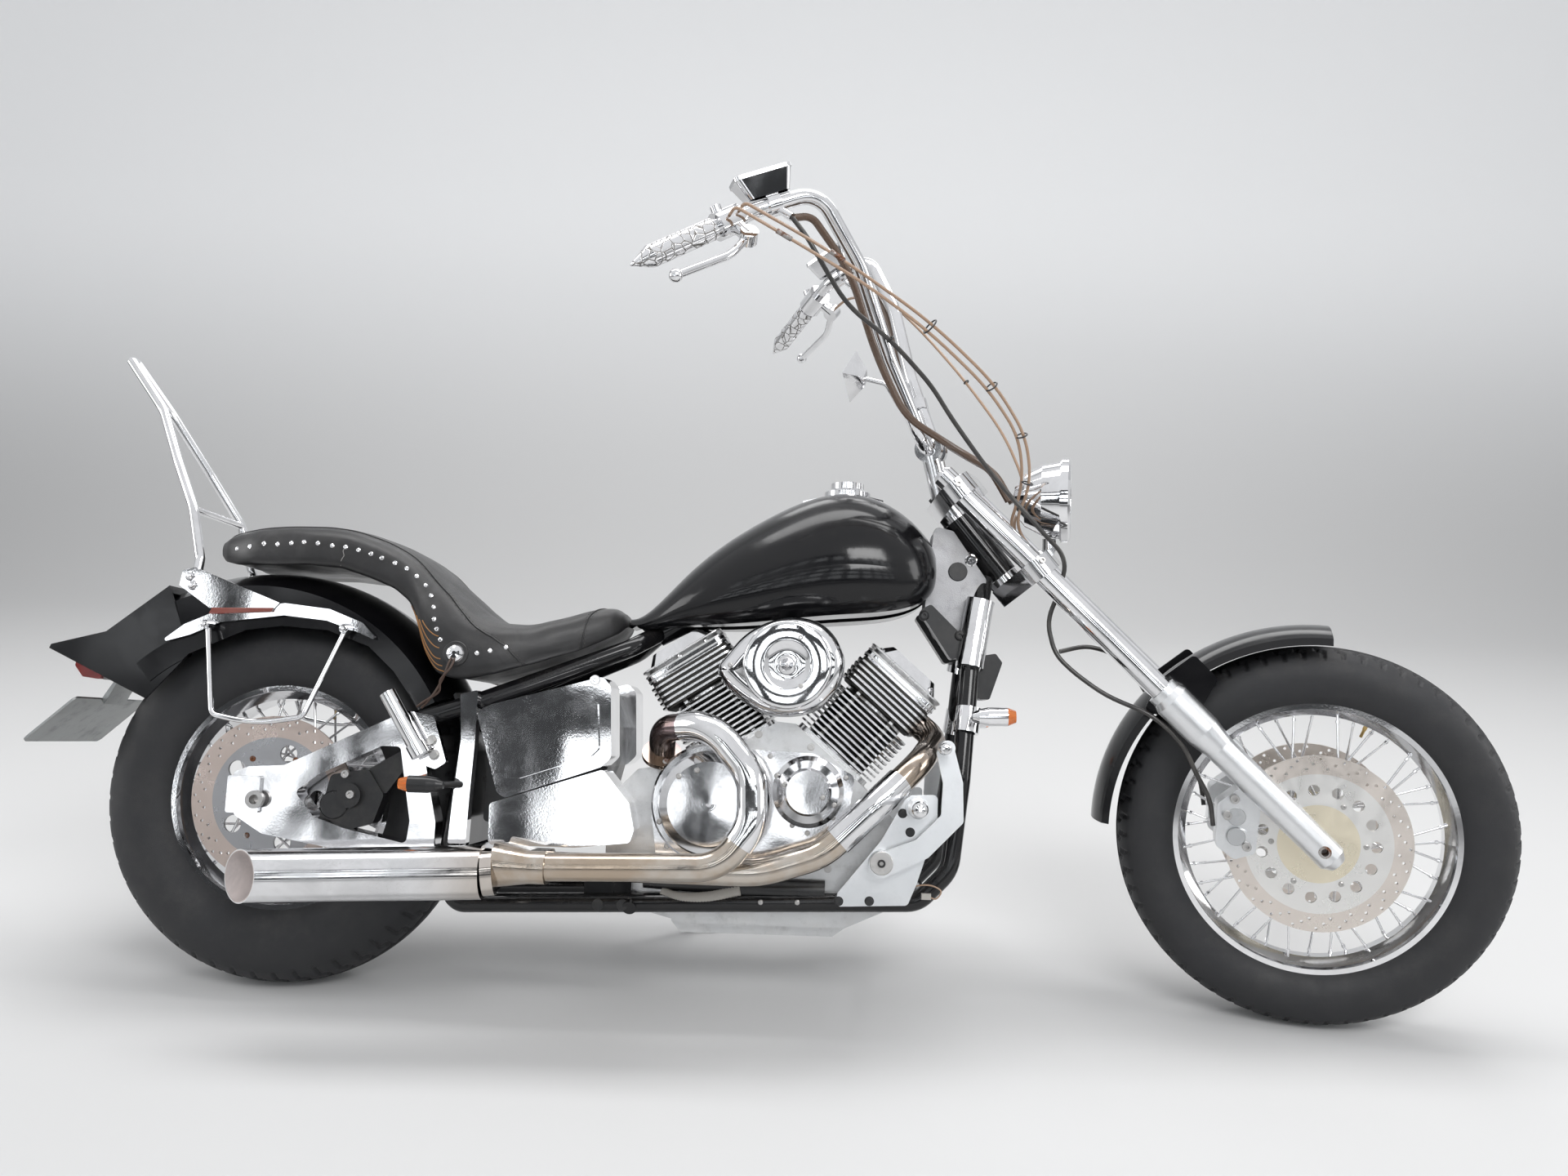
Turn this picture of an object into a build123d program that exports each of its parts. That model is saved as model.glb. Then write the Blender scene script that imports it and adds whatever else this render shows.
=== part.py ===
"""Cruiser motorcycle with raked long forks, high handlebars and a shaft-driven V-twin.

Every piece is drawn upright, in millimetres: X forward, Y to the rider's left, Z up, the rear
axle at X = 0 and the floor at Z = 0. Pieces of the steering are drawn straight ahead and then
turned about the steering axis. The whole machine finally leans onto its side stand.
"""

from build123d import *
from math import atan2, cos, degrees, radians, sin, tan
import os

# How it stands
LEAN = 16.0
STEER = -14.0

# Wheels and axles
WHEELBASE = 1807.0
TYRE_R = 327.5
REAR_TYRE_W = 170.0
FRONT_TYRE_W = 110.0
REAR_RIM_R = 206.0
FRONT_RIM_R = 242.7
REAR_RIM_W = 126.0
FRONT_RIM_W = 76.0
TYRE_WALL = 9.0
RIM_WALL = 5.0
AXLE_R = 10.0
SPOKES_PER_SIDE = 20
SPOKE_R = 2.2
DISC_R = 149.0
DISC_T = 5.0
FRONT_DISC_Y = 70.0
REAR_DISC_R = 141.0
REAR_DISC_Y = -98.0

# Steering head and fork
RAKE = 39.0
NECK_X = 1232.7
NECK_Z = 807.6
HEAD_R = 31.0
STEM_R = 15.0
FORK_DIR = (0.7189, -0.6951)
FORK_Y = 108.0
TUBE_R = 20.5
SLIDER_R = 25.0
SLIDER_TOP_R = 31.0
SLIDER_LEN = 352.0
TUBE_TOP = 884.0
UPPER_CLAMP_Q = 106.0
LOWER_CLAMP_Q = -86.0
CLAMP_T = 34.0
HEAD_TOP_Q = 74.0
HEAD_LOW_Q = -56.0

# Handlebar
BAR_R = 13.0
GRIP_R = 18.0
GRIP_TAPER = 38.0

# Engine
CRANK = (880.0, 330.0)
FRONT_CYL_DEG = 41.0
REAR_CYL_DEG = -33.0
BASE_D = 135.0
BARREL_D = 118.0
HEAD_D = 52.0
COVER_D = 46.0
FIN_W = 164.0
FIN_Y = 168.0
FIN_T = 3.4
FIN_PITCH = 9.6
CASE_Y = 112.0

# Exhaust
HEADER_R = 22.5
HEADER_WALL = 2.0
MUFFLER_R = 43.0

# Frame tubes
RAIL_R = 16.0
RAIL_Y = 132.0
BACKBONE_R = 22.0
CONTROL_Y = 175.0
GAP = 0.3
FIT = 0.05

# Sockets that take other makers' pieces
MIRROR_SOCKET = (5.0, 14.0)
FRONT_AXLE_SOCKET = (6.0, 22.0)
REAR_AXLE_SOCKET = (8.0, 20.0)


def rod(a, b, r, r_end=None):
    """Round bar from a to b, straight or tapering."""
    a, b = Vector(*tuple(a)), Vector(*tuple(b))
    plane = Plane(origin=a, z_dir=b - a)
    length = (b - a).length
    if r_end is None:
        return extrude(plane * Circle(r), length)
    return loft([plane * Circle(r), plane.offset(length) * Circle(r_end)])


def ring(a, b, r, bore):
    """Round bar with a bore right through it."""
    return rod(a, b, r) - rod(a, b, bore)


def pipe(points, r, bends, wall=0.0):
    """Tube along straight runs joined by tangent arcs."""
    path = FilletPolyline(*points, radius=bends)
    plane = Plane(origin=path @ 0, z_dir=path % 0)
    solid = sweep(plane * Circle(r), path=path)
    if wall:
        solid -= sweep(plane * Circle(r - wall), path=path)
    return solid


def slab(outline, y0, y1, corner=0.0):
    """Side-view outline in X and Z, carried from y0 to y1."""
    points = [(x, y0, z) for x, z in outline]
    if corner:
        wire = FilletPolyline(*points, radius=corner, close=True)
    else:
        wire = Polyline(*points, close=True)
    return extrude(make_face(wire), y1 - y0, dir=(0, 1, 0))


def turned(outline, x=0.0, z=0.0, y=0.0):
    """Outline of radius and width turned about a cross-wise axis through X, Z."""
    wire = Polyline(*[(r, w) for r, w in outline], close=True)
    return Pos(x, y, z) * revolve(make_face(wire), Axis.Y)


def both(shape):
    """A piece and its mirror image on the other side of the machine."""
    return shape + mirror(shape, about=Plane.XZ)


def fused(pieces):
    pieces = list(pieces)
    return pieces[0].fuse(*pieces[1:]) if len(pieces) > 1 else pieces[0]


def leg(s, y=-FORK_Y):
    """Point on the right fork leg's centre line, s above the front axle."""
    return (WHEELBASE - FORK_DIR[0] * s, y, TYRE_R - FORK_DIR[1] * s)


def neck_at(q, ahead=0.0, y=0.0):
    """Point beside the steering axis: q up along it, so much ahead of it."""
    c, s = cos(radians(RAKE)), sin(radians(RAKE))
    return (NECK_X - q * s + ahead * c, y, NECK_Z + q * c + ahead * s)


def neck_plane(q):
    """Plane square to the steering axis, its X to the front."""
    c, s = cos(radians(RAKE)), sin(radians(RAKE))
    return Plane(origin=neck_at(q), x_dir=(c, 0, s), z_dir=(-s, 0, c))


def along(a, b, t):
    return tuple(p + (q - p) * t for p, q in zip(a, b))


parts = {}

# Wheels


def tyre(width, rim_r, rim_w):
    half, bead = width / 2, rim_w / 2 - 4
    low = rim_r - 14
    shoulder_r = TYRE_R - 0.15 * width
    mid_r = (TYRE_R + rim_r) / 2
    inner = half - TYRE_WALL

    edges = [
        ThreePointArc((low, -bead), (mid_r, -half), (shoulder_r, -half * 0.8)),
        ThreePointArc((shoulder_r, -half * 0.8), (TYRE_R, 0), (shoulder_r, half * 0.8)),
        ThreePointArc((shoulder_r, half * 0.8), (mid_r, half), (low, bead)),
        Line((low, bead), (low, bead - TYRE_WALL)),
        ThreePointArc((low, bead - TYRE_WALL), (mid_r, inner), (shoulder_r - TYRE_WALL, inner * 0.8)),
        ThreePointArc(
            (shoulder_r - TYRE_WALL, inner * 0.8),
            (TYRE_R - TYRE_WALL - 2, 0),
            (shoulder_r - TYRE_WALL, -inner * 0.8),
        ),
        ThreePointArc((shoulder_r - TYRE_WALL, -inner * 0.8), (mid_r, -inner), (low, TYRE_WALL - bead)),
        Line((low, TYRE_WALL - bead), (low, -bead)),
    ]
    return revolve(make_face(edges), Axis.Y)


def rim(r, width):
    half, seat = width / 2, r - 14
    well = seat - 14
    upper = [(r, -half), (r, -half + 3.5), (seat, -half + 4), (seat, 18 - half), (well, 30 - half)]
    upper += [(radius, -w) for radius, w in reversed(upper)]
    lower = [(seat - RIM_WALL, -half), (seat - RIM_WALL, 14 - half), (well - RIM_WALL, 27 - half)]
    lower += [(radius, -w) for radius, w in reversed(lower)]
    return turned(upper + lower[::-1])


def spokes(hub_r, rim_r, hub_y, rim_y, count, lay):
    """Laced spokes of both sides: leading ones outside the flange, trailing ones inside."""
    out = []
    for side in (1, -1):
        for i in range(count):
            trailing = i % 2
            foot = radians(360 / count * i + (0 if side > 0 else 180 / count))
            head = foot + radians(lay if trailing else -lay)
            y0, y1 = hub_y - 7 * trailing, rim_y - 7 * trailing
            a = (hub_r * cos(head), side * y0, hub_r * sin(head))
            b = (rim_r * cos(foot), side * y1, rim_r * sin(foot))
            out.append(rod(a, b, SPOKE_R))
    return out


def hub(half, body_r, flange_r, flange_y):
    outline = [
        (AXLE_R + FIT, -half), (body_r - 6, -half), (body_r - 6, -flange_y - 4), (flange_r, -flange_y - 4),
        (flange_r, -flange_y + 11), (body_r, -flange_y + 11), (body_r, flange_y - 11),
        (flange_r, flange_y - 11), (flange_r, flange_y + 4), (body_r - 6, flange_y + 4),
        (body_r - 6, half), (AXLE_R + FIT, half),
    ]
    return turned(outline)


HUBS = {
    "front": (FRONT_DISC_Y - DISC_T / 2 - 6, 28, 46, 34, FRONT_RIM_R, FRONT_RIM_W),
    "rear": (REAR_DISC_Y * -1 - DISC_T / 2 - 8, 34, 62, 46, REAR_RIM_R, REAR_RIM_W),
}
wheel_solids = {}
for name, (half, body_r, flange_r, flange_y, rim_r, rim_w) in HUBS.items():
    wires = spokes(flange_r - 5, rim_r - 24, flange_y, 13, SPOKES_PER_SIDE, 62)
    wheel_solids[name] = fused([rim(rim_r, rim_w), hub(half, body_r, flange_r, flange_y), *wires])

front_at = Pos(WHEELBASE, 0, TYRE_R)
rear_at = Pos(0, 0, TYRE_R)
parts["front_tyre"] = front_at * tyre(FRONT_TYRE_W, FRONT_RIM_R, FRONT_RIM_W)
parts["rear_tyre"] = rear_at * tyre(REAR_TYRE_W, REAR_RIM_R, REAR_RIM_W)
parts["front_tyre"] = max((parts["front_tyre"] - front_at * wheel_solids["front"]).solids(), key=lambda s: s.volume)
parts["rear_tyre"] = max((parts["rear_tyre"] - rear_at * wheel_solids["rear"]).solids(), key=lambda s: s.volume)
parts["front_rim"] = front_at * wheel_solids["front"]
parts["rear_rim"] = rear_at * wheel_solids["rear"]


def disc(r, carrier_r, windows, window_r, bore, t):
    """Brake disc with its carrier, a circle of round windows and three rows of small drilled holes."""
    solid = turned([(bore, -t / 2), (r, -t / 2), (r, t / 2), (bore, t / 2)])
    holes = [(carrier_r, 360 / windows * i, window_r) for i in range(windows)]
    holes += [(r - inset, 360 / DRILLED * i + turn, DRILL_R)
              for inset, turn in ((6, 0), (14, 5), (22, 10)) for i in range(DRILLED)]
    cut = [
        rod((at * cos(radians(a)), -t, at * sin(radians(a))), (at * cos(radians(a)), t, at * sin(radians(a))), hole_r)
        for at, a, hole_r in holes
    ]
    return solid - cut


DRILLED, DRILL_R = 24, 2.6
front_disc = disc(DISC_R, 91, 15, 9.5, AXLE_R + 6 + GAP, DISC_T)
parts["front_discs"] = front_at * both(
    Pos(0, -FRONT_DISC_Y, 0) * front_disc
    + turned([(AXLE_R + 6 + GAP, -FRONT_DISC_Y + DISC_T / 2), (34, -FRONT_DISC_Y + DISC_T / 2),
              (22, -HUBS["front"][0]), (AXLE_R + 6 + GAP, -HUBS["front"][0])])
)
parts["rear_disc"] = rear_at * (
    Pos(0, REAR_DISC_Y, 0) * disc(REAR_DISC_R, 80, 5, 15, AXLE_R + 6 + GAP, DISC_T)
    + turned([(AXLE_R + 6 + GAP, REAR_DISC_Y + DISC_T / 2), (40, REAR_DISC_Y + DISC_T / 2),
              (28, -HUBS["rear"][0]), (AXLE_R + 6 + GAP, -HUBS["rear"][0])])
)

# Frame: backbone, cradle of two lower rails, twin seat rails and rear uprights
rail = [
    (1234, -26, 756), (1206, -80, 590), (1190, -118, 400), (1172, -RAIL_Y, 250),
    (1120, -RAIL_Y, 196), (345, -RAIL_Y, 166), (322, -RAIL_Y, 210), (352, -118, 497),
]
seat_rail = [(652, -8, 641), (606, -60, 608), (360, -118, 505), (255, -118, 470)]
rail_bends = [90, 120, 60, 45, 24, 24]
seat_bends = [60, 200]
parts["frame_tubes"] = fused([
    both(pipe(rail, RAIL_R, rail_bends)),
    both(pipe(seat_rail, RAIL_R, seat_bends)),
    pipe([neck_at(0), (762, 0, 700), (648, 0, 639)], BACKBONE_R, [200]),
    ring(neck_at(HEAD_LOW_Q), neck_at(HEAD_TOP_Q), HEAD_R, STEM_R + FIT),
    rod((345, -118, 470), (345, 118, 470), 14),
    rod((345, -RAIL_Y, 172), (345, RAIL_Y, 172), 14),
    rod((1128, -RAIL_Y, 205), (1128, RAIL_Y, 205), 12),
    both(rod((1006, -RAIL_Y, 203), (1006, GAP - CONTROL_Y, 203), 11)),
    both(rod((1066, -RAIL_Y, 203), (1066, GAP - CONTROL_Y, 203), 11)),
])


parts["frame_tubes"] -= rod(neck_at(HEAD_LOW_Q - 20), neck_at(HEAD_TOP_Q + 20), STEM_R + FIT)

# Neck cover, its lock plate and the chrome cover of the right downtube
neck_outline = [(1128, 700), (1142, 846), (1176, 838), (1236, 752), (1226, 690), (1186, 632), (1150, 652)]
neck_cover = both(slab(neck_outline, 26, 46, 9)) + slab(neck_outline[2:5] + [(1200, 700)], -27, 27)
parts["neck_cover"] = neck_cover - parts["frame_tubes"]
parts["coil_cover"] = both(slab([(1116, 690), (1136, 702), (1200, 640), (1196, 612), (1172, 606)], 47, 82, 6))
cover_top = slab([(1180, 723), (1262, 706), (1270, 770), (1180, 770)], -110, 110)
parts["downtube_covers"] = both(
    pipe([(1228.4, -60, 732), (1220, -68, 690), (1204, -86, 592)], 24.5, [300])
) - parts["frame_tubes"] - cover_top

# Crankcase: its top carries the two cylinder bases of the V
def cylinder_axis(deg):
    """Unit vectors up the cylinder and across it, in X and Z."""
    a = radians(deg)
    return (sin(a), cos(a)), (cos(a), -sin(a))


def base_edge(deg, side):
    up, across = cylinder_axis(deg)
    return (
        CRANK[0] + up[0] * BASE_D + across[0] * side * FIN_W / 2,
        CRANK[1] + up[1] * BASE_D + across[1] * side * FIN_W / 2,
    )


case_outline = [
    (640, 400), base_edge(REAR_CYL_DEG, -1), base_edge(REAR_CYL_DEG, 1), base_edge(FRONT_CYL_DEG, -1),
    base_edge(FRONT_CYL_DEG, 1), (1078, 330), (1096, 250), (1066, 176), (1000, 146), (735, 144),
    (650, 165), (590, 235), (590, 350),
]
engine = slab(case_outline, -CASE_Y, CASE_Y, 7)
sump = slab([(700, 150), (720, 126), (980, 128), (1010, 150)], -88, 88, 4)
parts["crankcase"] = engine + sump


def cylinder(deg):
    """Finned barrel and head of one cylinder, with the rocker cover apart."""
    up, across = cylinder_axis(deg)

    def level(d):
        origin = (CRANK[0] + up[0] * d, 0, CRANK[1] + up[1] * d)
        return Plane(origin=origin, x_dir=(across[0], 0, across[1]), z_dir=(up[0], 0, up[1]))

    barrel = extrude(level(BASE_D) * Circle(62), BARREL_D + HEAD_D)
    fins = [extrude(level(BASE_D) * RectangleRounded(FIN_W - 10, FIN_Y - 12, 16), 9)]
    count = int((BARREL_D - 14) / FIN_PITCH)
    for i in range(count):
        d = BASE_D + 14 + i * FIN_PITCH
        fins.append(extrude(level(d) * RectangleRounded(FIN_W, FIN_Y, 26), FIN_T))
    d = BASE_D + BARREL_D
    fins.append(extrude(level(d) * RectangleRounded(FIN_W - 14, FIN_Y - 12, 20), HEAD_D))
    for i in range(int(HEAD_D / FIN_PITCH)):
        fins.append(extrude(level(d + 3 + i * FIN_PITCH) * RectangleRounded(FIN_W - 2, FIN_Y, 20), FIN_T))
    ribs = [
        extrude(level(BASE_D + 10) * Pos(x, 0, 0) * Rectangle(7, FIN_Y - 8), BARREL_D)
        for x in (-38, 38)
    ]
    finned = fused([barrel, *fins, *ribs])
    d += HEAD_D
    cover = extrude(level(d) * RectangleRounded(FIN_W - 8, FIN_Y - 6, 18), 14)
    cover += loft([
        level(d + 14) * RectangleRounded(FIN_W - 14, FIN_Y - 14, 16),
        level(d + COVER_D) * RectangleRounded(FIN_W - 66, FIN_Y - 44, 12),
    ])
    return finned, cover


for name, deg in (("front", FRONT_CYL_DEG), ("rear", REAR_CYL_DEG)):
    parts["cylinder_" + name], parts["rocker_cover_" + name] = cylinder(deg)

# Right engine covers: clutch dome with its ring, round pick-up cover, cover between them
clutch = turned([(0, -168), (70, -166), (84, -158), (88, -146), (96, -146), (100, -140), (100, -CASE_Y),
                 (0, -CASE_Y)], 768, 347)
pickup = turned([(0, -166), (36, -166), (40, -158), (52, -156), (60, -148), (60, -CASE_Y), (0, -CASE_Y)],
                932, 372)
bridge = slab([(680, 250), (668, 330), (700, 420), (800, 440), (940, 436), (1010, 400), (1000, 320),
               (960, 260), (860, 215), (740, 205)], -134, -CASE_Y, 12)
parts["engine_covers_right"] = clutch + pickup + bridge
alternator = turned([(0, 176), (58, 174), (78, 160), (84, 140), (84, CASE_Y), (0, CASE_Y)], 905, 320)
gearcase = slab([(600, 240), (610, 330), (680, 380), (800, 380), (820, 250), (740, 190), (640, 190)],
                CASE_Y, 152, 20)
parts["engine_covers_left"] = alternator + gearcase

# Intake between the cylinders and the teardrop air cleaner in front of it
AIR = (892.0, 581.0)
parts["carburettors"] = fused([
    rod((AIR[0], -128, AIR[1]), (AIR[0], 96, AIR[1]), 27),
    slab([(856, 548), (856, 614), (928, 614), (928, 548)], -70, 70, 10),
    rod((880, 30, 560), (880, 30, 500), 20),
])
air_outline = [(776, 560), (836, 506), (892, 494), (950, 510), (981, 556), (984, 606), (952, 650),
               (892, 664), (832, 640), (790, 594)]
air_body = slab(air_outline, -196, -129, 14)
air_disc = turned([(0, -226), (8, -220), (14, -212), (52, -208), (64, -204), (68, -196), (0, -196)], *AIR)
parts["air_cleaner"] = air_body + air_disc

# Exhaust: each header starts at its head and both end in the collector
front_header = [(1117, -40, 495), (1150, -60, 466), (1118, -160, 428), (1050, -196, 362), (960, -204, 274),
                (860, -204, 241), (520, -206, 241)]
front_bends = [40, 80, 150, 120, 200]
rear_header = [(678, -105, 424), (684, -150, 470), (772, -215, 478), (842, -240, 400), (846, -251, 320),
               (800, -253, 252), (520, -253, 243)]
rear_bends = [45, 90, 80, 80, 80]
parts["exhaust_front"] = pipe(front_header, HEADER_R, front_bends, HEADER_WALL)
parts["exhaust_rear"] = pipe(rear_header, HEADER_R, rear_bends, HEADER_WALL)
parts["exhaust_rear"] += ring((678, -105, 424), along((678, -105, 424), (684, -150, 470), 0.12), 34, 20.5)
shield_r = HEADER_R + GAP
parts["heat_shields"] = (
    pipe([along(rear_header[1], rear_header[2], 0.45), *rear_header[2:5], along(*rear_header[4:6], 0.45)],
         shield_r + 2.4, rear_bends[1:4])
    - pipe([along(rear_header[1], rear_header[2], 0.4), *rear_header[2:5], along(*rear_header[4:6], 0.5)],
           shield_r, rear_bends[1:4])
    + pipe([along(*front_header[2:4], 0.5), front_header[3], along(*front_header[3:5], 0.74)], shield_r + 2.4, [150])
    - pipe([along(*front_header[2:4], 0.45), front_header[3], along(*front_header[3:5], 0.77)], shield_r, [150])
)
collector_y = (front_header[-1][1] + rear_header[-1][1]) / 2
cross = Plane(origin=(520, collector_y, 242), x_dir=(0, 1, 0), z_dir=(-1, 0, 0))
collector = extrude(cross * SlotOverall(47 + 2 * HEADER_R + 8, 2 * HEADER_R + 8), 26)
collector += loft([cross.offset(26) * SlotOverall(47 + 2 * HEADER_R + 8, 2 * HEADER_R + 8),
                   cross.offset(88) * SlotOverall(74, 73)])
parts["collector"] = collector - rod((600, front_header[-1][1], 241), (500, front_header[-1][1], 241), 20) \
    - rod((600, rear_header[-1][1], 243), (500, rear_header[-1][1], 243), 20)
muffler_path = [(432, -234, 231), (414, -236, 229), (-60, -258, 206)]
muffler = rod(muffler_path[1], muffler_path[2], MUFFLER_R) + rod(muffler_path[0], muffler_path[1], MUFFLER_R - 5)
mouth = Plane(origin=(28, -258, 208), x_dir=(0, 0, 1), z_dir=(-1, -1.05, 0))
parts["muffler"] = muffler - rod(along(muffler_path[1], muffler_path[2], 0.6), (-90, -259, 205), MUFFLER_R - 3) \
    - extrude(mouth * Rectangle(400, 400), 300)

# Fuel tank: loft of rounded sections over the backbone
TANK = [
    # x, low, high, half width
    (600, 648, 664, 26), (672, 649, 716, 70), (786, 656, 818, 122), (890, 666, 878, 150),
    (985, 676, 902, 160), (1068, 686, 878, 146), (1128, 712, 826, 104), (1146, 744, 794, 60),
]


def tank_section(x, low, high, half):
    mid = low + (high - low) * 0.36
    edges = [
        Line((x, -half * 0.72, low), (x, half * 0.72, low)),
        ThreePointArc((x, half * 0.72, low), (x, half * 0.95, low + (mid - low) * 0.42), (x, half, mid)),
        ThreePointArc((x, half, mid), (x, half * 0.74, mid + (high - mid) * 0.72), (x, 0, high)),
        ThreePointArc((x, 0, high), (x, -half * 0.74, mid + (high - mid) * 0.72), (x, -half, mid)),
        ThreePointArc((x, -half, mid), (x, -half * 0.95, low + (mid - low) * 0.42), (x, -half * 0.72, low)),
    ]
    return make_face(edges)


tank = loft([tank_section(*row) for row in TANK])
tunnel = slab([(560, 600), (590, 640), (655, 672), (765, 738), (1180, 836), (1180, 600)], -34, 34)
parts["fuel_tank"] = tank - tunnel
cap_base = rod((985, 0, 880), (985, 0, 909), 42) + rod((985, 0, 909), (985, 0, 914), 42, 34)
console = slab([(905, 872), (905, 889), (985, 909), (1050, 894), (1050, 872)], -26, 26)
parts["tank_console"] = console + cap_base - parts["fuel_tank"] - tank
parts["fuel_cap"] = rod((985, 0, 914.3), (985, 0, 926), 30) + rod((985, 0, 926), (985, 0, 930), 24, 14)

# Seat
SEAT_TOP = [(-128, 776), (-112, 797), (-45, 809), (60, 812), (125, 806), (182, 786), (228, 765), (290, 715),
            (338, 672), (386, 649), (442, 646), (505, 662), (575, 688), (592, 684), (596, 652)]
SEAT_LOW = [(521, 612), (466, 585), (388, 545), (322, 540), (286, 560), (252, 612), (206, 663), (146, 704),
            (87, 724), (0, 733), (-90, 730), (-126, 752)]
seat = slab(SEAT_TOP + SEAT_LOW, -168, 168)
plan = [(-140, -84), (-60, -124), (120, -150), (330, -168), (420, -160), (520, -104), (600, -72)]
plan += [(x, -y) for x, y in reversed(plan)]
seat = seat & extrude(make_face(Polyline(*[(x, y, 500) for x, y in plan], close=True)), 400)

# Rear fender: arched shell over the wheel with a flared tail
FENDER_AT = (-40.0, 330.0)
FENDER_R = 398.0
FENDER_SKIN = 4.0
TAIL_Y = 125.6


def fender_shell(r, half, drop, edge_r, centre, start, sweep_deg, skin):
    """Arched shell: a crowned section turned about a cross-wise axis."""
    shoulder = r - drop

    def section(off):
        inner = half - off
        return make_face([
            ThreePointArc((shoulder - off, -inner + 6), (r - off, 0), (shoulder - off, inner - 6)),
            Line((shoulder - off, inner - 6), (edge_r, inner)),
            Line((edge_r, inner), (edge_r, -inner)),
            Line((edge_r, -inner), (shoulder - off, -inner + 6)),
        ])

    place = Pos(centre[0], 0, centre[1]) * Rot(0, -start, 0)
    whole = revolve(section(0), Axis.Y, sweep_deg)
    void = Rot(0, 3, 0) * revolve(section(skin), Axis.Y, sweep_deg)
    void += Rot(0, -3, 0) * revolve(section(skin), Axis.Y, sweep_deg)
    return place * whole, place * (whole - void)


full, shell = fender_shell(FENDER_R, 128, 33, 262, FENDER_AT, 133, 105, FENDER_SKIN)
tail_out = slab([(-200, 690), (-306, 606), (-402, 581), (-412, 556), (-250, 460), (-150, 560)], -TAIL_Y, TAIL_Y)
tail_in = slab([(-190, 680), (-301, 601), (-392, 577), (-402, 550), (-240, 440), (-180, 430), (-120, 540)], FENDER_SKIN - TAIL_Y, TAIL_Y - FENDER_SKIN)
hem = slab([(-440, 590), (-225, 491), (-155, 571), (-110, 592), (-57, 616), (7, 625), (87, 620), (161, 594),
            (207, 553), (238, 512), (257, 484), (330, 300), (-440, 300)], -140, 140)
fender = (shell + (tail_out - tail_in - full)) - hem
parts["rear_fender"] = fender
seat_room, _ = fender_shell(FENDER_R + GAP, 128 + GAP, 33, 262, FENDER_AT, 133, 105, FENDER_SKIN)
pan = slab([(-110, 745), (0, 745), (87, 732), (206, 672), (270, 600), (300, 556), (262, 556), (150, 640), (0, 690), (-100, 700)],
           -106, 106)
parts["seat"] = seat + pan - seat_room - tail_out
parts["seat"] -= both(pipe(seat_rail, RAIL_R + GAP, seat_bends))

# Fender trim, luggage guards and sissy bar with its side plates
FENDER_SIDE = 128.0 + GAP
arch_top = [(-206, 588), (-163, 622), (-105, 648), (13, 664), (92, 656), (151, 634), (184, 601)]
arch_low = [(150, 615), (88, 636), (12, 643), (-98, 628), (-152, 604)]
trim = slab(arch_top + arch_low, -FENDER_SIDE - 7, -FENDER_SIDE, 3)
trim += fused([rod((x, -FENDER_SIDE - 2, z), (x, -122, z), 5) for x, z in ((-140, 617), (13, 653), (140, 626))])
parts["fender_trims"] = both(trim) - parts["rear_fender"]
guard_y = FENDER_SIDE + 8
guard = [(-117, -guard_y - 6, 622), (-76, -188, 468), (0, -190, 454), (80, -188, 468), (126, -guard_y - 6, 622)]
knobs = fused([
    rod((x, -FENDER_SIDE - 7, 622), (x, -guard_y - 18, 622), 9, 8) for x in (guard[0][0], guard[-1][0])
])
parts["luggage_guards"] = both(pipe(guard, 4.5, [16, 240, 16]) + knobs)
sissy = [(-150, -134, 690), (-160, -104, 742), (-184, -95, 832), (-238, -62, 925), (-298, -16, 1030),
         (-372, -9, 1126)]
side_plate = slab([(-172, 716), (-150, 722), (4, 664), (-10, 648), (-120, 652), (-176, 690)], -138.6, -FENDER_SIDE)
mount_block = slab([(-112, 656), (-104, 678), (-60, 676), (-8, 657)], -FENDER_SIDE, -122.6)
top_bridge = rod((-372, -9, 1126), (-372, 9, 1126), 8.5)
cross_bar = rod((-184, -95, 832), (-184, 95, 832), 6)
bar_side = pipe(sissy, 8.5, [24, 80, 80, 80])
parts["sissy_bar"] = both(bar_side + (side_plate + mount_block - trim)) + top_bridge + cross_bar
parts["sissy_bar"] -= parts["rear_fender"]
parts["sissy_bar"] -= parts["fender_trims"]

# Blank plate on its bracket under the tail, with a small lamp above it
plate_frame = Plane(origin=(-399, 0, 452), x_dir=(0, 1, 0), z_dir=(-0.667, 0, 0.745))
plate = extrude(plate_frame * RectangleRounded(230, 112, 8), 1.2)
plate -= fused([rod((-399 + 30, y, 500), (-399 + 10, y, 440), 3.2) for y in (-70, 70)])
bracket = extrude(plate_frame.offset(-4) * RectangleRounded(236, 118, 10), 3.7)
bracket += slab([(-356, 488), (-330, 530), (-322, 560), (-318, 599), (-300, 606), (-296, 571), (-316, 545), (-350, 480)],
                -34, 34)
parts["plate_bracket"] = bracket - parts["rear_fender"]
parts["plate"] = plate
lamp = slab([(-352, 560), (-398, 566), (-402, 548), (-386, 528), (-352, 524)], -48, 48, 5)
lamp_seat = slab([(-352, 524), (-352, 574), (-330, 578), (-330, 524)], -40, 40)
parts["tail_lamp"] = lamp
parts["plate_bracket"] += lamp_seat - parts["rear_fender"] - lamp

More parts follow.
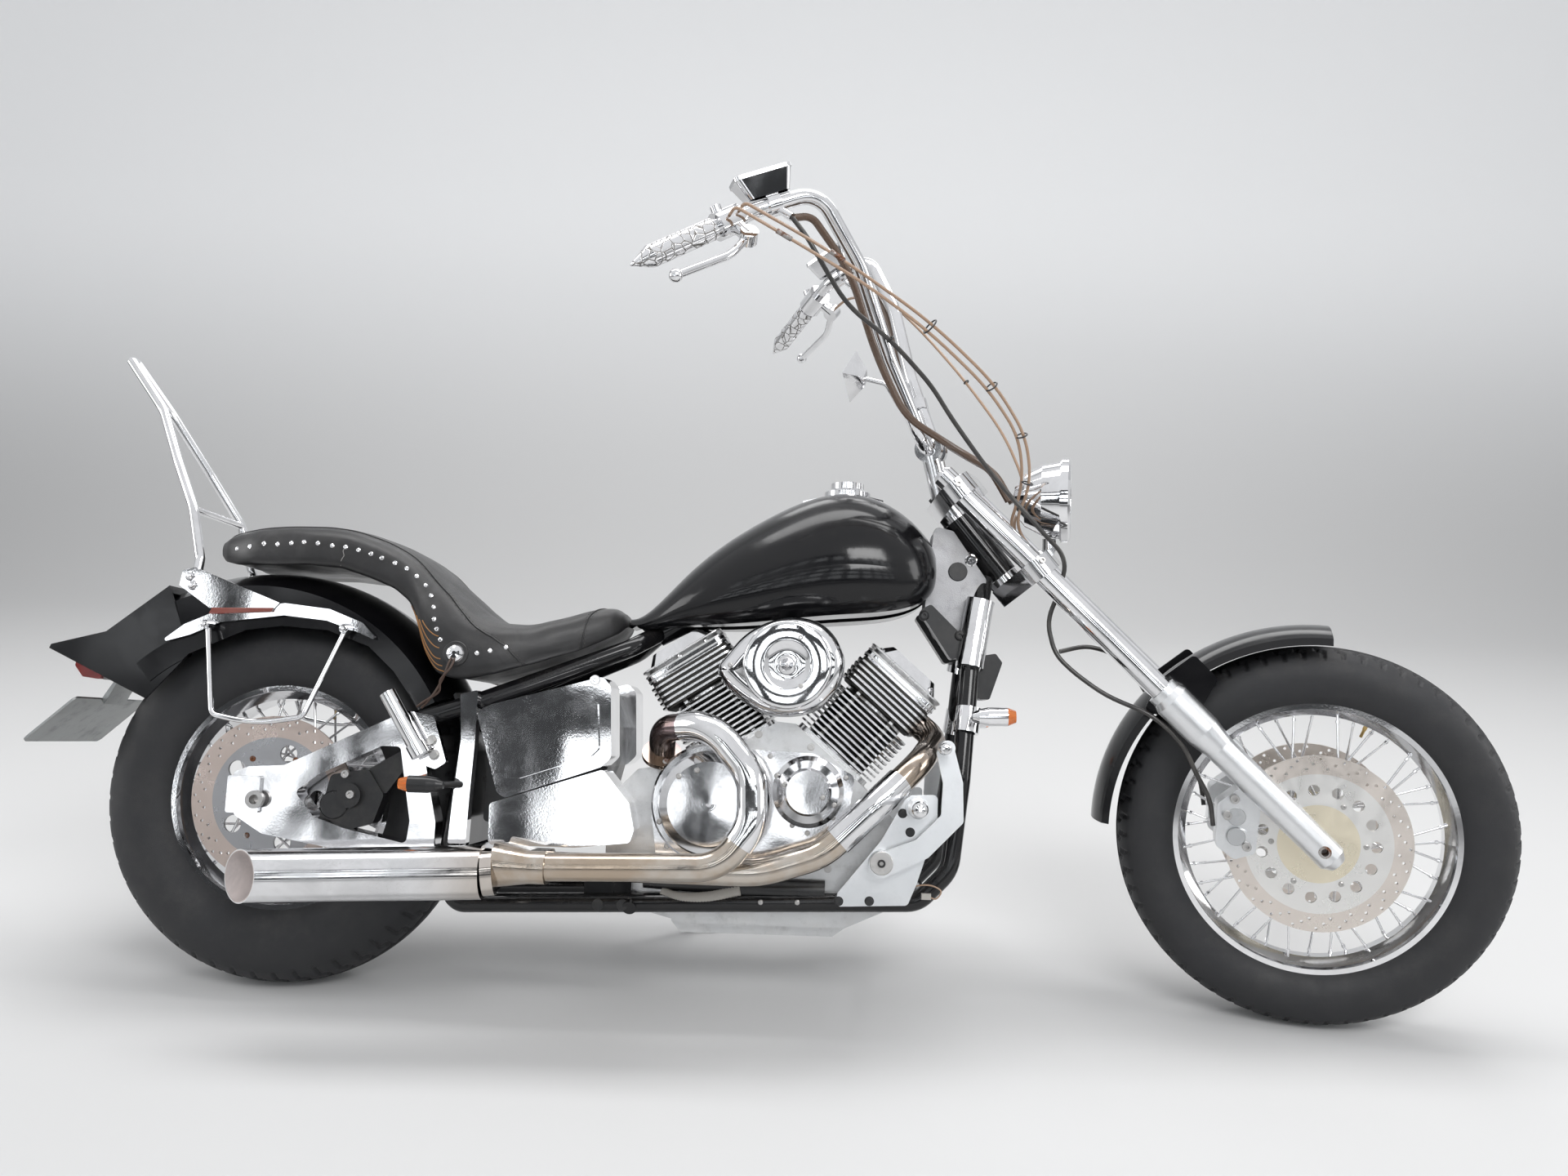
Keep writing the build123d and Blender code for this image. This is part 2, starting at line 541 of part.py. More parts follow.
# Swingarm with its axle plates, final drive on the left, rear axle and caliper
arm_side = slab([(-46, 372), (-20, 382), (40, 386), (222, 474), (262, 484), (306, 300), (306, 210), (120, 252),
                 (10, 270), (-40, 300)], -152, -108, 8)
window = slab([(62, 342), (100, 372), (206, 424), (238, 424), (262, 300), (258, 262), (150, 284), (96, 302)],
              -160, -100, 8)
arm_left = slab([(40, 376), (222, 474), (262, 484), (306, 300), (306, 210), (120, 262), (40, 300)], 108, 152, 8)
pivot = (318, 232)
swingarm = (arm_side - window) + arm_left
swingarm += rod((pivot[0], -122, pivot[1]), (pivot[0], 122, pivot[1]), 26)
swingarm += rod((238, -116, 448), (238, 116, 448), 18)
swingarm += slab([(-52, 304), (-52, 366), (4, 366), (4, 304)], -160, -108, 4)
axle_hole = rod((0, -200, TYRE_R), (0, 240, TYRE_R), AXLE_R)
tyre_room = rod((0, -96, TYRE_R), (0, 96, TYRE_R), TYRE_R + 6)
parts["swingarm"] = swingarm - axle_hole - (tyre_room & slab([(-50, 0), (345, 0), (345, 700), (-50, 700)], -96, 96))
final_drive = turned([(AXLE_R, 108), (66, 108), (78, 118), (78, 150), (52, 172), (AXLE_R, 178)], 0, TYRE_R)
shaft = rod((60, 130, 318), (330, 130, 250), 34)
parts["final_drive"] = (final_drive + shaft) - parts["swingarm"] - axle_hole
parts["swingarm"] -= parts["final_drive"]
parts["rear_axle"] = rod((0, -162, TYRE_R), (0, 180, TYRE_R), AXLE_R) \
    + rod((0, -170, TYRE_R), (0, -160.2, TYRE_R), 15) + rod((0, 178.2, TYRE_R), (0, 188, TYRE_R), 15)
parts["rear_axle"] -= rod((0, -170, TYRE_R), (0, -170 + REAR_AXLE_SOCKET[1], TYRE_R), REAR_AXLE_SOCKET[0])
for side, y0, y1 in (("right", -108, -HUBS["rear"][0] - GAP), ("left", HUBS["rear"][0] + GAP, 108)):
    parts["rear_axle"] += ring((0, y0, TYRE_R), (0, y1, TYRE_R), AXLE_R + 5, AXLE_R - 1)
caliper = slab([(96, 300), (112, 372), (176, 384), (206, 340), (190, 292), (136, 276)], -126, -76, 10)
caliper -= rod((0, REAR_DISC_Y - 4.5, TYRE_R), (0, REAR_DISC_Y + 4.5, TYRE_R), REAR_DISC_R + 5)
caliper -= tyre_room & rod((0, -90, TYRE_R), (0, 90, TYRE_R), TYRE_R + 5)
caliper += rod((148, -136, 338), (148, -126, 338), 21, 19)
caliper += slab([(176, 384), (236, 420), (250, 404), (206, 340)], -120, -108, 4)
parts["rear_caliper"] = caliper - parts["swingarm"]
parts["splash_plate"] = slab([(313, 520), (352, 420), (352, 260), (347, 260), (347, 418), (309, 516)], -104, 104) \
    - parts["swingarm"] - parts["rear_fender"] - parts["frame_tubes"]

# Battery box between the frame uprights with the chrome covers on its sides
box = slab([(372, 300), (376, 480), (560, 538), (586, 470), (584, 400), (560, 300)], -96, 96, 8)
parts["battery_box"] = box - parts["frame_tubes"] - parts["crankcase"]
cover_outline = [(374, 487), (398, 500), (584, 552), (598, 536), (604, 418), (588, 402), (430, 346), (416, 354)]
cover_core = slab(cover_outline, -186, -96 - GAP, 12)
cover_face = slab([(400, 470), (414, 474), (566, 520), (578, 508), (584, 432), (572, 420), (450, 378), (432, 384)],
                  -194, -180, 10)
cover_cavity = slab([(388, 476), (580, 532), (590, 424), (432, 364)], -182, -100, 8)
side_cover = (cover_core - cover_cavity) + cover_face - both(pipe(rail, RAIL_R + 1, rail_bends)) \
    - both(pipe(seat_rail, RAIL_R + 1, seat_bends))
parts["side_cover_right"] = side_cover
parts["side_cover_left"] = mirror(side_cover, about=Plane.XZ)
pan = slab([(402, 336), (590, 398), (636, 344), (646, 300), (640, 279), (548, 268), (404, 268)], -176, -98, 8)
pan -= slab([(412, 324), (590, 384), (624, 340), (630, 292), (548, 278), (412, 278)], -172, -90, 5)
parts["lower_cover"] = pan - parts["crankcase"] - parts["engine_covers_right"]
strut = slab([(336, 516), (366, 524), (366, 440), (362, 340), (360, 266), (330, 266), (334, 340), (342, 440)],
             -156, -132, 3)
parts["strut_covers"] = both(strut - pipe(rail, RAIL_R + GAP, rail_bends) - pipe(seat_rail, RAIL_R + GAP, seat_bends))

# Lights on stalks, wedge lens and under-rail pieces


def bullet(nose, tail_at, r):
    """Bullet-shaped lamp body with a flat lens face, nose first."""
    return rod(nose, along(nose, tail_at, 0.18), r * 0.45, r * 0.8) + rod(
        along(nose, tail_at, 0.18), along(nose, tail_at, 0.45), r * 0.8, r) + rod(
        along(nose, tail_at, 0.45), tail_at, r)


rear_signal = bullet((330, -200, 364), (272, -200, 364), 14) + rod((346, -153, 364), (300, -198, 364), 6)
parts["rear_signals"] = both(rear_signal) - parts["strut_covers"]
parts["rear_signal_lenses"] = both(rod((271.7, -200, 364), (256, -200, 364), 13.5, 9))
front_signal = bullet((1204, -152, 506), (1262, -152, 508), 16)
clamp = ring((1198, -106.8, 480), (1204, -99.5, 522), 22, RAIL_R)
front_signal += clamp + rod((1206, -118, 503), (1218, -140, 506), 7)
parts["front_signals"] = both(front_signal) - parts["frame_tubes"]
parts["front_signal_lenses"] = both(rod((1262.3, -152, 508), (1276, -152, 508.5), 15.5, 10))
wedge = slab([(1224, 616), (1256, 622), (1268, 606), (1246, 540), (1226, 540)], -34, 34, 5)
parts["horn"] = (wedge + rod((1230, 0, 580), (1200, 0, 580), 14)
                 + rod((1208, -78, 580), (1208, 78, 580), 7)) - parts["frame_tubes"] - parts["downtube_covers"]
hose = rod((660, -127, 214), (790, -127, 208), 12)
canister = rod((790, -127, 208), (804, -127, 208), 12, 17) + rod((804, -127, 208), (965, -127, 208), 17)
parts["breather_hose"] = hose - parts["frame_tubes"] - parts["crankcase"] - parts["engine_covers_right"]
parts["canister"] = canister - parts["frame_tubes"] - parts["crankcase"] - parts["engine_covers_right"] \
    - parts["exhaust_front"] - parts["exhaust_rear"]

# Foot pieces: folded passenger pegs and the forward controls
peg_bracket = slab([(240, 486), (292, 478), (318, 400), (300, 388), (262, 400)], -152.5, -136, 6)
rear_peg = rod((216, -172, 514), (272, -172, 424), 14) + rod((268, -172, 430), (280, -172, 411), 16)
peg_joint = rod((271, -172, 420), (288, -148, 424), 10)
parts["passenger_pegs"] = both(rear_peg + peg_joint + peg_bracket) - parts["frame_tubes"] - parts["strut_covers"] \
    - parts["swingarm"]
plate_outline = [(1092, 366), (1102, 374), (1146, 376), (1146, 330), (1114, 230), (1100, 196), (982, 190),
                 (986, 212), (1056, 300)]
control_plate = slab(plate_outline, -CONTROL_Y - 9, -CONTROL_Y, 8)
PEG = ((1113.4, -190, 350.5), (1106, -300, 360))
foot_peg = rod((1113, -184, 351), (1113, -196, 351), 19) + rod(*PEG, 15) + rod(PEG[1], along(*PEG, 1.04), 15, 11)
pedal_arm = slab([(1040, 262), (1056, 282), (1110, 304), (1150, 344), (1152, 396), (1140, 446), (1152, 462),
                  (1168, 456), (1184, 398), (1186, 334), (1130, 276), (1064, 243), (1046, 246)], -212, -202, 9)
pedal = pedal_arm + rod((1056, -184.3, 263), (1056, -216, 263), 21) + rod((1154, -202, 453), (1154, -262, 453), 12)
parts["forward_controls_right"] = control_plate + foot_peg
parts["brake_pedal"] = pedal
parts["forward_controls_left"] = mirror(parts["forward_controls_right"], about=Plane.XZ)
parts["gear_lever"] = mirror(pedal, about=Plane.XZ)
parts["engine_mounts"] = both(
    slab([(1040, 186), (1080, 186), (1100, 230), (1080, 262), (1050, 240)], -132, -CASE_Y, 5)
    + slab([(560, 186), (640, 186), (640, 236), (600, 250), (560, 230)], -132, -CASE_Y, 5)
) - parts["frame_tubes"] - parts["crankcase"]
parts["engine_mounts"] += both(rod((640, -118, 186), (640, -148.2, 170), 12)) - parts["frame_tubes"] \
    - parts["crankcase"]

# Fork, straight ahead: tubes, sliders, clamps, axle
parts["fork_tubes"] = both(rod(leg(250), leg(TUBE_TOP), TUBE_R) + rod(leg(TUBE_TOP), leg(TUBE_TOP + 7), TUBE_R, 14))
slider = fused([
    rod(leg(-34), leg(-20), 15, SLIDER_R), rod(leg(-20), leg(230), SLIDER_R),
    rod(leg(230), leg(268), SLIDER_R, SLIDER_TOP_R), rod(leg(268), leg(SLIDER_LEN - 12), SLIDER_TOP_R),
    rod(leg(SLIDER_LEN - 12), leg(SLIDER_LEN), SLIDER_TOP_R, SLIDER_TOP_R - 5),
])
bore = rod(leg(245), leg(SLIDER_LEN + 5), TUBE_R)
slider -= rod(leg(0, -FORK_Y - 40), leg(0, -FORK_Y + 40), AXLE_R)
parts["fork_sliders"] = both(slider - bore)
dust_seal = ring(leg(SLIDER_LEN), leg(SLIDER_LEN + 12), TUBE_R + 6, TUBE_R + 0.02)
parts["dust_seals"] = both(dust_seal)
parts["front_axle"] = rod((WHEELBASE, -FORK_Y - 27, TYRE_R), (WHEELBASE, FORK_Y + 27, TYRE_R), AXLE_R) \
    + both(ring((WHEELBASE, -FORK_Y + SLIDER_R + GAP, TYRE_R), (WHEELBASE, -HUBS["front"][0] - GAP, TYRE_R),
                  AXLE_R + 5, AXLE_R - 1))
parts["front_axle"] -= rod((WHEELBASE, -FORK_Y - 27, TYRE_R), (WHEELBASE, FRONT_AXLE_SOCKET[1] - FORK_Y - 27, TYRE_R),
                           FRONT_AXLE_SOCKET[0])


def clamp_plate(q, thick, fork_s):
    """Bridge of the two fork legs square to the steering axis."""
    plane = neck_plane(q)
    legs = plane.to_local_coords(Vector(*leg(fork_s)))
    rounds = [Pos(legs.X, side * FORK_Y, 0) * Circle(TUBE_R + 11) for side in (1, -1)] + [Circle(HEAD_R)]
    outline = make_hull([edge for shape in rounds for edge in shape.edges()])
    return extrude(plane * outline, thick)


def s_at(q):
    """Distance above the axle at which the fork line crosses height q of the steering axis."""
    n = Vector(*neck_at(1)) - Vector(*neck_at(0))
    d = Vector(*leg(1)) - Vector(*leg(0))
    return (Vector(*neck_at(q)) - Vector(*leg(0, 0))).dot(n) / d.dot(n)


upper = clamp_plate(UPPER_CLAMP_Q - 17, CLAMP_T, s_at(UPPER_CLAMP_Q))
lower = clamp_plate(LOWER_CLAMP_Q - 17, CLAMP_T, s_at(LOWER_CLAMP_Q))
stem = rod(neck_at(LOWER_CLAMP_Q), neck_at(UPPER_CLAMP_Q + 26), STEM_R)
nut = rod(neck_at(UPPER_CLAMP_Q + 17), neck_at(UPPER_CLAMP_Q + 28), 20) + rod(
    neck_at(HEAD_TOP_Q + 0.8), neck_at(UPPER_CLAMP_Q - 17), HEAD_R - 3)
seat_ring = rod(neck_at(LOWER_CLAMP_Q + 17), neck_at(HEAD_LOW_Q - 0.8), HEAD_R - 2)
RISER = (1137.0, 992.0)
riser = rod(neck_at(UPPER_CLAMP_Q + 16, 4, -38), (RISER[0], -38, RISER[1]), 16) \
    + rod((RISER[0], -53, RISER[1]), (RISER[0], -23, RISER[1]), 24)
clamps = upper + lower + stem + nut + seat_ring + both(riser)
clamps -= both(rod(leg(500), leg(TUBE_TOP + 20), TUBE_R))
parts["triple_clamps"] = clamps - rod((RISER[0], -80, RISER[1]), (RISER[0], 80, RISER[1]), BAR_R)

# Handlebar, grips and controls
GRIP_IN = (826.0, -361.0, 1324.0)
GRIP_TIP = (723.0, -469.0, 1246.0)
bar = [(RISER[0], 0, RISER[1]), (RISER[0], -104, RISER[1]), (1078, -146, 1140), (1034, -196, 1290),
       (972, -252, 1404), along(GRIP_IN, GRIP_TIP, -0.5), along(GRIP_IN, GRIP_TIP, 0.55)]
half_bar = pipe(bar, BAR_R, [62, 150, 150, 52, 110])
parts["handlebar"] = both(half_bar)
grip_end = along(GRIP_IN, GRIP_TIP, 1 - GRIP_TAPER / 168.5)
grip = rod(along(GRIP_IN, GRIP_TIP, 0.03), grip_end, GRIP_R) + rod(grip_end, GRIP_TIP, GRIP_R, 1.5)
parts["grips"] = both(grip - rod(along(GRIP_IN, GRIP_TIP, -0.1), along(GRIP_IN, GRIP_TIP, 0.55), BAR_R))
grip_dir = (Vector(*GRIP_TIP) - Vector(*GRIP_IN)).normalized()
front_dir = (Vector(1, -0.35, -0.9) - grip_dir * Vector(1, -0.35, -0.9).dot(grip_dir)).normalized()


def on_grip(t, ahead=0.0, up=0.0):
    """Point beside the right bar end: t along it from the grip's inner end towards the tip."""
    normal = grip_dir.cross(front_dir)
    p = Vector(*GRIP_IN) + grip_dir * t + front_dir * ahead + normal * up
    return (p.X, p.Y, p.Z)


control = rod(on_grip(-50), on_grip(-3), 23) + rod(on_grip(-34, 16), on_grip(-34, 44), 12)
perch = rod(on_grip(-34, 44, -11), on_grip(-34, 44, 11), 15)
blade = [on_grip(-19.6, 49.3), on_grip(20, 64), on_grip(124, 56)]
lever = pipe(blade, 6.5, [70]) + Plane(origin=blade[-1], z_dir=Vector(*blade[-1]) - Vector(*blade[1])) * Sphere(11)
bar_dir = (Vector(*bar[4]) - Vector(*bar[5])).normalized()
up_dir = bar_dir.cross(Vector(0.4, -0.9, 0.1)).normalized()
up_dir = up_dir * (1 if up_dir.Z > 0 else -1)
reservoir_at = Plane(origin=Vector(*bar[5]) + bar_dir * 30, x_dir=bar_dir, z_dir=up_dir)
reservoir = loft([reservoir_at.offset(14) * RectangleRounded(74, 34, 8), reservoir_at.offset(48) * RectangleRounded(100, 48, 9)])
reservoir += extrude(reservoir_at.offset(48) * RectangleRounded(103, 51, 10), 6)
reservoir += extrude(Plane(origin=Vector(*bar[5]) + bar_dir * 22, z_dir=bar_dir) * Circle(19), 22)
reservoir += rod(Vector(*bar[5]) + bar_dir * 33, (938, -298, 1352), 7)
reservoir -= extrude(Plane(origin=Vector(*bar[5]) + bar_dir * 12, z_dir=bar_dir) * Circle(BAR_R + FIT), 44)
socket_top = Vector(*on_grip(-15)) + up_dir * 32
mirror_boss = rod(on_grip(-15), tuple(socket_top), 9)
socket = rod(tuple(socket_top - up_dir * MIRROR_SOCKET[1]), tuple(socket_top + up_dir * 2), MIRROR_SOCKET[0])
bar_bore = rod(on_grip(-60), on_grip(20), BAR_R + FIT)
parts["controls"] = both(control + perch + mirror_boss - bar_bore - socket) + both(reservoir)
parts["levers"] = both(lever)

# Mirror on the left bar
mirror_plane = Plane(origin=(972, 96, 1142), x_dir=(0.15, 0.98, 0), z_dir=(-1, 0.15, 0.12))
mirror_body = loft([
    mirror_plane.offset(-26) * Polygon((-12, 0), (0, 16), (12, 0), (0, -16)),
    mirror_plane * Polygon((-62, 0), (0, 50), (62, 0), (0, -50)),
])
glass = extrude(mirror_plane.offset(0.1) * Polygon((-56, 0), (0, 45), (56, 0), (0, -45)), 1.6,
                dir=tuple(mirror_plane.z_dir))
stem_path = [(996, 98, 1138), (1036, 100, 1128), (1062, 118, 1082), (1094, 138, 1082)]
parts["mirror_housing"] = mirror_body + pipe(stem_path, 5, [16, 16]) + \
    ring((1098, 128, 1076), (1092, 136, 1096), 19, BAR_R + FIT) - parts["handlebar"]
parts["mirror_glass"] = glass

# Headlight on its bracket
LAMP = (1378.0, 903.0)
shell = turned([(0.01, -92), (26, -88), (48, -70), (64, -40), (70, -8), (73, -8), (73, 0), (66, 0),
                (60, -38), (44, -66), (24, -83), (0.01, -87)])
lamp_place = Pos(LAMP[0], 0, LAMP[1]) * Rot(0, 0, -90)
bezel = turned([(73, 0), (76, -6), (76, 6), (70, 10), (65, 6), (65, 0)])
parts["headlight_shell"] = lamp_place * (shell + bezel)
parts["headlight_lens"] = lamp_place * turned([(0.01, 12), (40, 9), (64.8, 3), (64.8, 0.5), (40, 6), (0.01, 9)])
parts["headlight_reflector"] = lamp_place * turned([(0.01, -80), (22, -76), (42, -60), (57, -34), (63, 0),
                                                    (61, 0), (55, -33), (40, -57), (21, -72), (0.01, -76)])
bracket = rod((1352, 0, 812), (1352, 0, 834), 12) + slab([(1316, 792), (1362, 806), (1362, 818), (1310, 806)], -22, 22)
parts["headlight_bracket"] = bracket - parts["headlight_shell"] - parts["triple_clamps"]

# Front fender and brake calipers
full_front, shell_front = fender_shell(364, 70, 18, 334, (WHEELBASE - 8, TYRE_R), 178, 92, 3.5)
parts["front_fender"] = shell_front + slab([(1520, 540), (1540, 592), (1600, 640), (1640, 600), (1600, 520)], -76, -69.5, 8) \
    + slab([(1520, 540), (1540, 592), (1600, 640), (1640, 600), (1600, 520)], 69.5, 76, 8)
parts["front_fender"] -= full_front - shell_front
parts["front_fender"] += both(rod(leg(300, -71), leg(300, -80), 7) + rod(leg(330, -71), leg(330, -80), 7)) - parts["fork_sliders"]
caliper = slab([(1640, 320), (1642, 392), (1676, 420), (1712, 398), (1704, 310), (1670, 298)], -98, -50, 10)
caliper -= rod((WHEELBASE, -FRONT_DISC_Y - 4.5, TYRE_R), (WHEELBASE, -FRONT_DISC_Y + 4.5, TYRE_R), DISC_R + 5)
caliper += fused([rod((x, -104, z), (x, -98, z), 17, 15) for x, z in ((1666, 386), (1678, 334))])
caliper += slab([(1676, 420), (1706, 452), (1726, 430), (1712, 398)], -106, -86, 4)
parts["front_calipers"] = both(caliper) - parts["fork_sliders"]

# Control cables and brake hoses along the bars
CABLE_R = 2.7
LOOM_R = 6.5
HOSE_R = 4.0


def cable(points, r):
    """Flexible line through its points: straight runs joined by the widest arcs that fit."""
    vectors = [Vector(*p) for p in points]
    radii = []
    for a, b, c in zip(vectors, vectors[1:], vectors[2:]):
        turn = radians((b - a).get_angle(c - b))
        radii.append(0.45 * min((b - a).length, (c - b).length) / tan(turn / 2))
    path = FilletPolyline(*points, radius=radii)
    plane = Plane(origin=path @ 0, z_dir=path % 0)
    solid = sweep(plane * Circle(r), path=path)
    length = path.length
    print("line of", round(length), "mm, radii", [round(v) for v in radii],
          "volume share", round(solid.volume / (length * 3.14159 * r * r), 4))
    return solid


side_dir = (Vector(0, -1, 0) - grip_dir * Vector(0, -1, 0).dot(grip_dir)).normalized()


def housing_side(t, out):
    """Point on the camera side of the right switch housing."""
    p = Vector(*GRIP_IN) + grip_dir * t + side_dir * out
    return (p.X, p.Y, p.Z)


def left(point):
    return (point[0], -point[1], point[2])


throttle = [housing_side(-22, 24), housing_side(-25, 44), (931, -362, 1314), (1058, -292, 1243), (1158, -228, 1172),
            (1250, -170, 1085), (1300, -115, 1010), (1308, -78, 930), neck_at(0, 62, -46), neck_at(-68.6, 62, -46)]
idle = [housing_side(-42, 24), housing_side(-45, 44), (1009, -316, 1289), (1158, -224, 1190), (1262, -164, 1092),
        (1312, -112, 1010), (1322, -86, 930), neck_at(0, 76, -57), neck_at(-68.6, 76, -57)]
clutch = [left(on_grip(-49.6, 44)), left(on_grip(-90, 50)), (1000, 262, 1330), (1090, 206, 1244), (1184, 156, 1136),
          (1262, 118, 1030), (1306, 84, 930), neck_at(0, 62, 46), neck_at(-68.6, 62, 46)]
caliper_run = [(1560, -109, 514), (1586, -108, 484), (1606, -104, 440), (1630, -96, 398), (1636.2, -88, 352)]
main_hose = [(939.3, -298.2, 1350.3), (964, -300, 1319), (986, -292, 1280), (1023, -252, 1214), (1090, -212, 1164),
             (1156, -168, 1090), (1186, -146, 1040), (1254, -112, 944), (1344, -98, 844), (1386, -83, 799),
             (1372, -78, 740), (1353, -78, 690), (1368, -86, 634), (1400, -92, 604), (1455, -98, 566),
             (1526, -106, 540), *caliper_run]
left_hose = [(1376, -80, 638), (1419, -58, 648), (1460, -16, 636), (1500, 44, 604), (1530, 88, 552),
             *map(left, caliper_run)]
loom_run = [(935, -278, 1356), (962, -257, 1363), (1019, -210, 1281), (1062, -172, 1138), (1110, -154, 1040),
            (1166, -120, 1004), neck_at(150, 88, -74), neck_at(106, 106, -64), neck_at(40, 96, -58)]
parts["control_cables"] = cable(throttle, CABLE_R) + cable(idle, CABLE_R) + cable(clutch, CABLE_R)
parts["brake_hoses"] = cable(main_hose, HOSE_R) + cable(left_hose, HOSE_R)
parts["wiring_loom"] = both(cable(loom_run, LOOM_R))

# Side stand on the left rail: pin, eye and leg, its foot on the floor that the lean gives
STAND_PIVOT = (600.0, 178.0, 172.0)
STAND_FOOT_AT = (724.0, 292.0, 0.0)
STAND_PIN_R = 8.0
STAND_EYE_R = 16.0
STAND_AXIS = (0.147, 0.482, 0.8635)


side_arc = ((0.4 * REAR_TYRE_W) ** 2 + (0.15 * REAR_TYRE_W) ** 2) / (0.3 * REAR_TYRE_W)
FLOOR = side_arc * (cos(radians(LEAN)) - 1)
foot_z = (FLOOR + STAND_FOOT_AT[1] * sin(radians(LEAN))) / cos(radians(LEAN))
foot = (STAND_FOOT_AT[0], STAND_FOOT_AT[1], foot_z)
pad = Pos(*foot) * Rot(LEAN, 0, 0) * Pos(0, 0, 3.5) * Box(58, 44, 7)
axis_v = Vector(*STAND_AXIS).normalized()


def on_pivot(t):
    return tuple(Vector(*STAND_PIVOT) + axis_v * t)


eye = ring(on_pivot(-8), on_pivot(8), STAND_EYE_R, STAND_PIN_R + FIT)
ankle = (foot[0], foot[1], foot[2] + 10)
shank = rod(along(STAND_PIVOT, ankle, 0.052), ankle, 7.5, 9.5)
parts["side_stand"] = eye + shank + pad
lug = rod(on_pivot(-8.3), on_pivot(-18), STAND_EYE_R) + rod(on_pivot(-10), on_pivot(8.5), STAND_PIN_R) \
    + rod(on_pivot(8.4), on_pivot(14), STAND_EYE_R - 3) + rod(on_pivot(-20.5), (596, RAIL_Y + 4, 164), 9)
parts["frame_tubes"] = parts["frame_tubes"].fuse(lug, parts.pop("engine_mounts"))

# Pieces that seat against each other are cut to the face they share
seats = [
    ("carburettors", ["cylinder_rear", "cylinder_front"]),
    ("coil_cover", ["downtube_covers", "neck_cover", "frame_tubes"]), ("exhaust_front", ["cylinder_front"]),
    ("exhaust_rear", ["cylinder_rear"]), ("engine_covers_right", ["exhaust_rear", "frame_tubes"]),
    ("engine_covers_left", ["frame_tubes"]), ("muffler", ["collector"]),
    ("final_drive", ["frame_tubes", "strut_covers"]), ("swingarm", ["frame_tubes"]),
    ("tail_lamp", ["rear_fender"]), ("neck_cover", ["fuel_tank", "downtube_covers"]),
]
for name, others in seats:
    for other in others:
        parts[name] -= parts[other]

# One node for what belongs together
joined = {
    "rocker_covers": ["rocker_cover_front", "rocker_cover_rear"],
    "engine_covers": ["engine_covers_right", "engine_covers_left"],
    "exhaust_headers": ["exhaust_front", "exhaust_rear", "collector"],
    "tube_covers": ["downtube_covers", "strut_covers"],
    "coil_cover": ["coil_cover", "horn"],
    "plate_bracket": ["plate_bracket", "plate"],
    "side_covers": ["side_cover_right", "side_cover_left"],
    "signals": ["rear_signals", "front_signals"],
    "signal_lenses": ["rear_signal_lenses", "front_signal_lenses"],
    "breather_canister": ["breather_hose", "canister"],
    "forward_controls": ["forward_controls_right", "forward_controls_left"],
    "foot_levers": ["brake_pedal", "gear_lever"],
    "rear_fender": ["rear_fender", "splash_plate"],
    "fork_sliders": ["fork_sliders", "dust_seals"],
    "controls": ["controls", "levers"],
    "headlight_shell": ["headlight_shell", "headlight_reflector"],
    "triple_clamps": ["triple_clamps", "headlight_bracket"],
}
for name, pieces in joined.items():
    shapes = [parts.pop(piece) for piece in pieces]
    parts[name] = Compound(children=[solid for shape in shapes for solid in shape.solids()])

BODIES = {
    "front_wheel": ["front_tyre", "front_rim", "front_discs"],
    "rear_wheel": ["rear_tyre", "rear_rim", "rear_disc"],
    "steering": ["fork_tubes", "fork_sliders", "front_axle", "triple_clamps", "handlebar", "grips", "controls",
                 "mirror_housing", "mirror_glass", "headlight_shell", "headlight_lens",
                 "front_fender", "front_calipers", "control_cables", "brake_hoses", "wiring_loom"],
    "side_stand": ["side_stand"],
}
BODIES["frame"] = [name for name in parts if not any(name in nodes for nodes in BODIES.values())]

# Placing: steer, lean, stand both tyres on the floor, origin under the middle
steer_axis = Axis(neck_at(0), tuple(Vector(*neck_at(1)) - Vector(*neck_at(0))))


def placed(name, shape):
    if name in BODIES["steering"] or name in BODIES["front_wheel"]:
        shape = shape.rotate(steer_axis, STEER)
    return shape.rotate(Axis.X, -LEAN)


parts = {name: placed(name, shape) for name, shape in parts.items()}
rear_low = parts["rear_tyre"].bounding_box().min.Z
front_low = parts["front_tyre"].bounding_box().min.Z
PITCH = degrees(atan2(front_low - rear_low, WHEELBASE))
rear_contact = Axis((0, 0, rear_low), (0, 1, 0))
parts = {name: shape.rotate(rear_contact, PITCH) for name, shape in parts.items()}
boxes = [shape.bounding_box() for shape in parts.values()]
low = [min(getattr(b.min, k) for b in boxes) for k in "XYZ"]
high = [max(getattr(b.max, k) for b in boxes) for k in "XYZ"]
floor_z = parts["rear_tyre"].bounding_box().min.Z
SHIFT = (-(low[0] + high[0]) / 2, -(low[1] + high[1]) / 2, -floor_z)
parts = {name: Pos(*SHIFT) * shape for name, shape in parts.items()}
print("pitch", round(PITCH, 7), "shift", [round(v, 5) for v in SHIFT], "low", [round(v, 1) for v in low],
      "high", [round(v, 1) for v in high])


os.makedirs("parts", exist_ok=True)
for name, shape in parts.items():
    export_step(shape, f"parts/{name}.step")
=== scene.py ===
"""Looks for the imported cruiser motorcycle: finishes, soft seat, treads, fasteners and a plain studio."""

from collections import namedtuple
from math import atan2, cos, hypot, pi, radians, sin

import bmesh
import bpy
import numpy as np
from bpy.props import FloatProperty, FloatVectorProperty, IntProperty, PointerProperty
from mathutils import Matrix, Vector
from mathutils.bvhtree import BVHTree


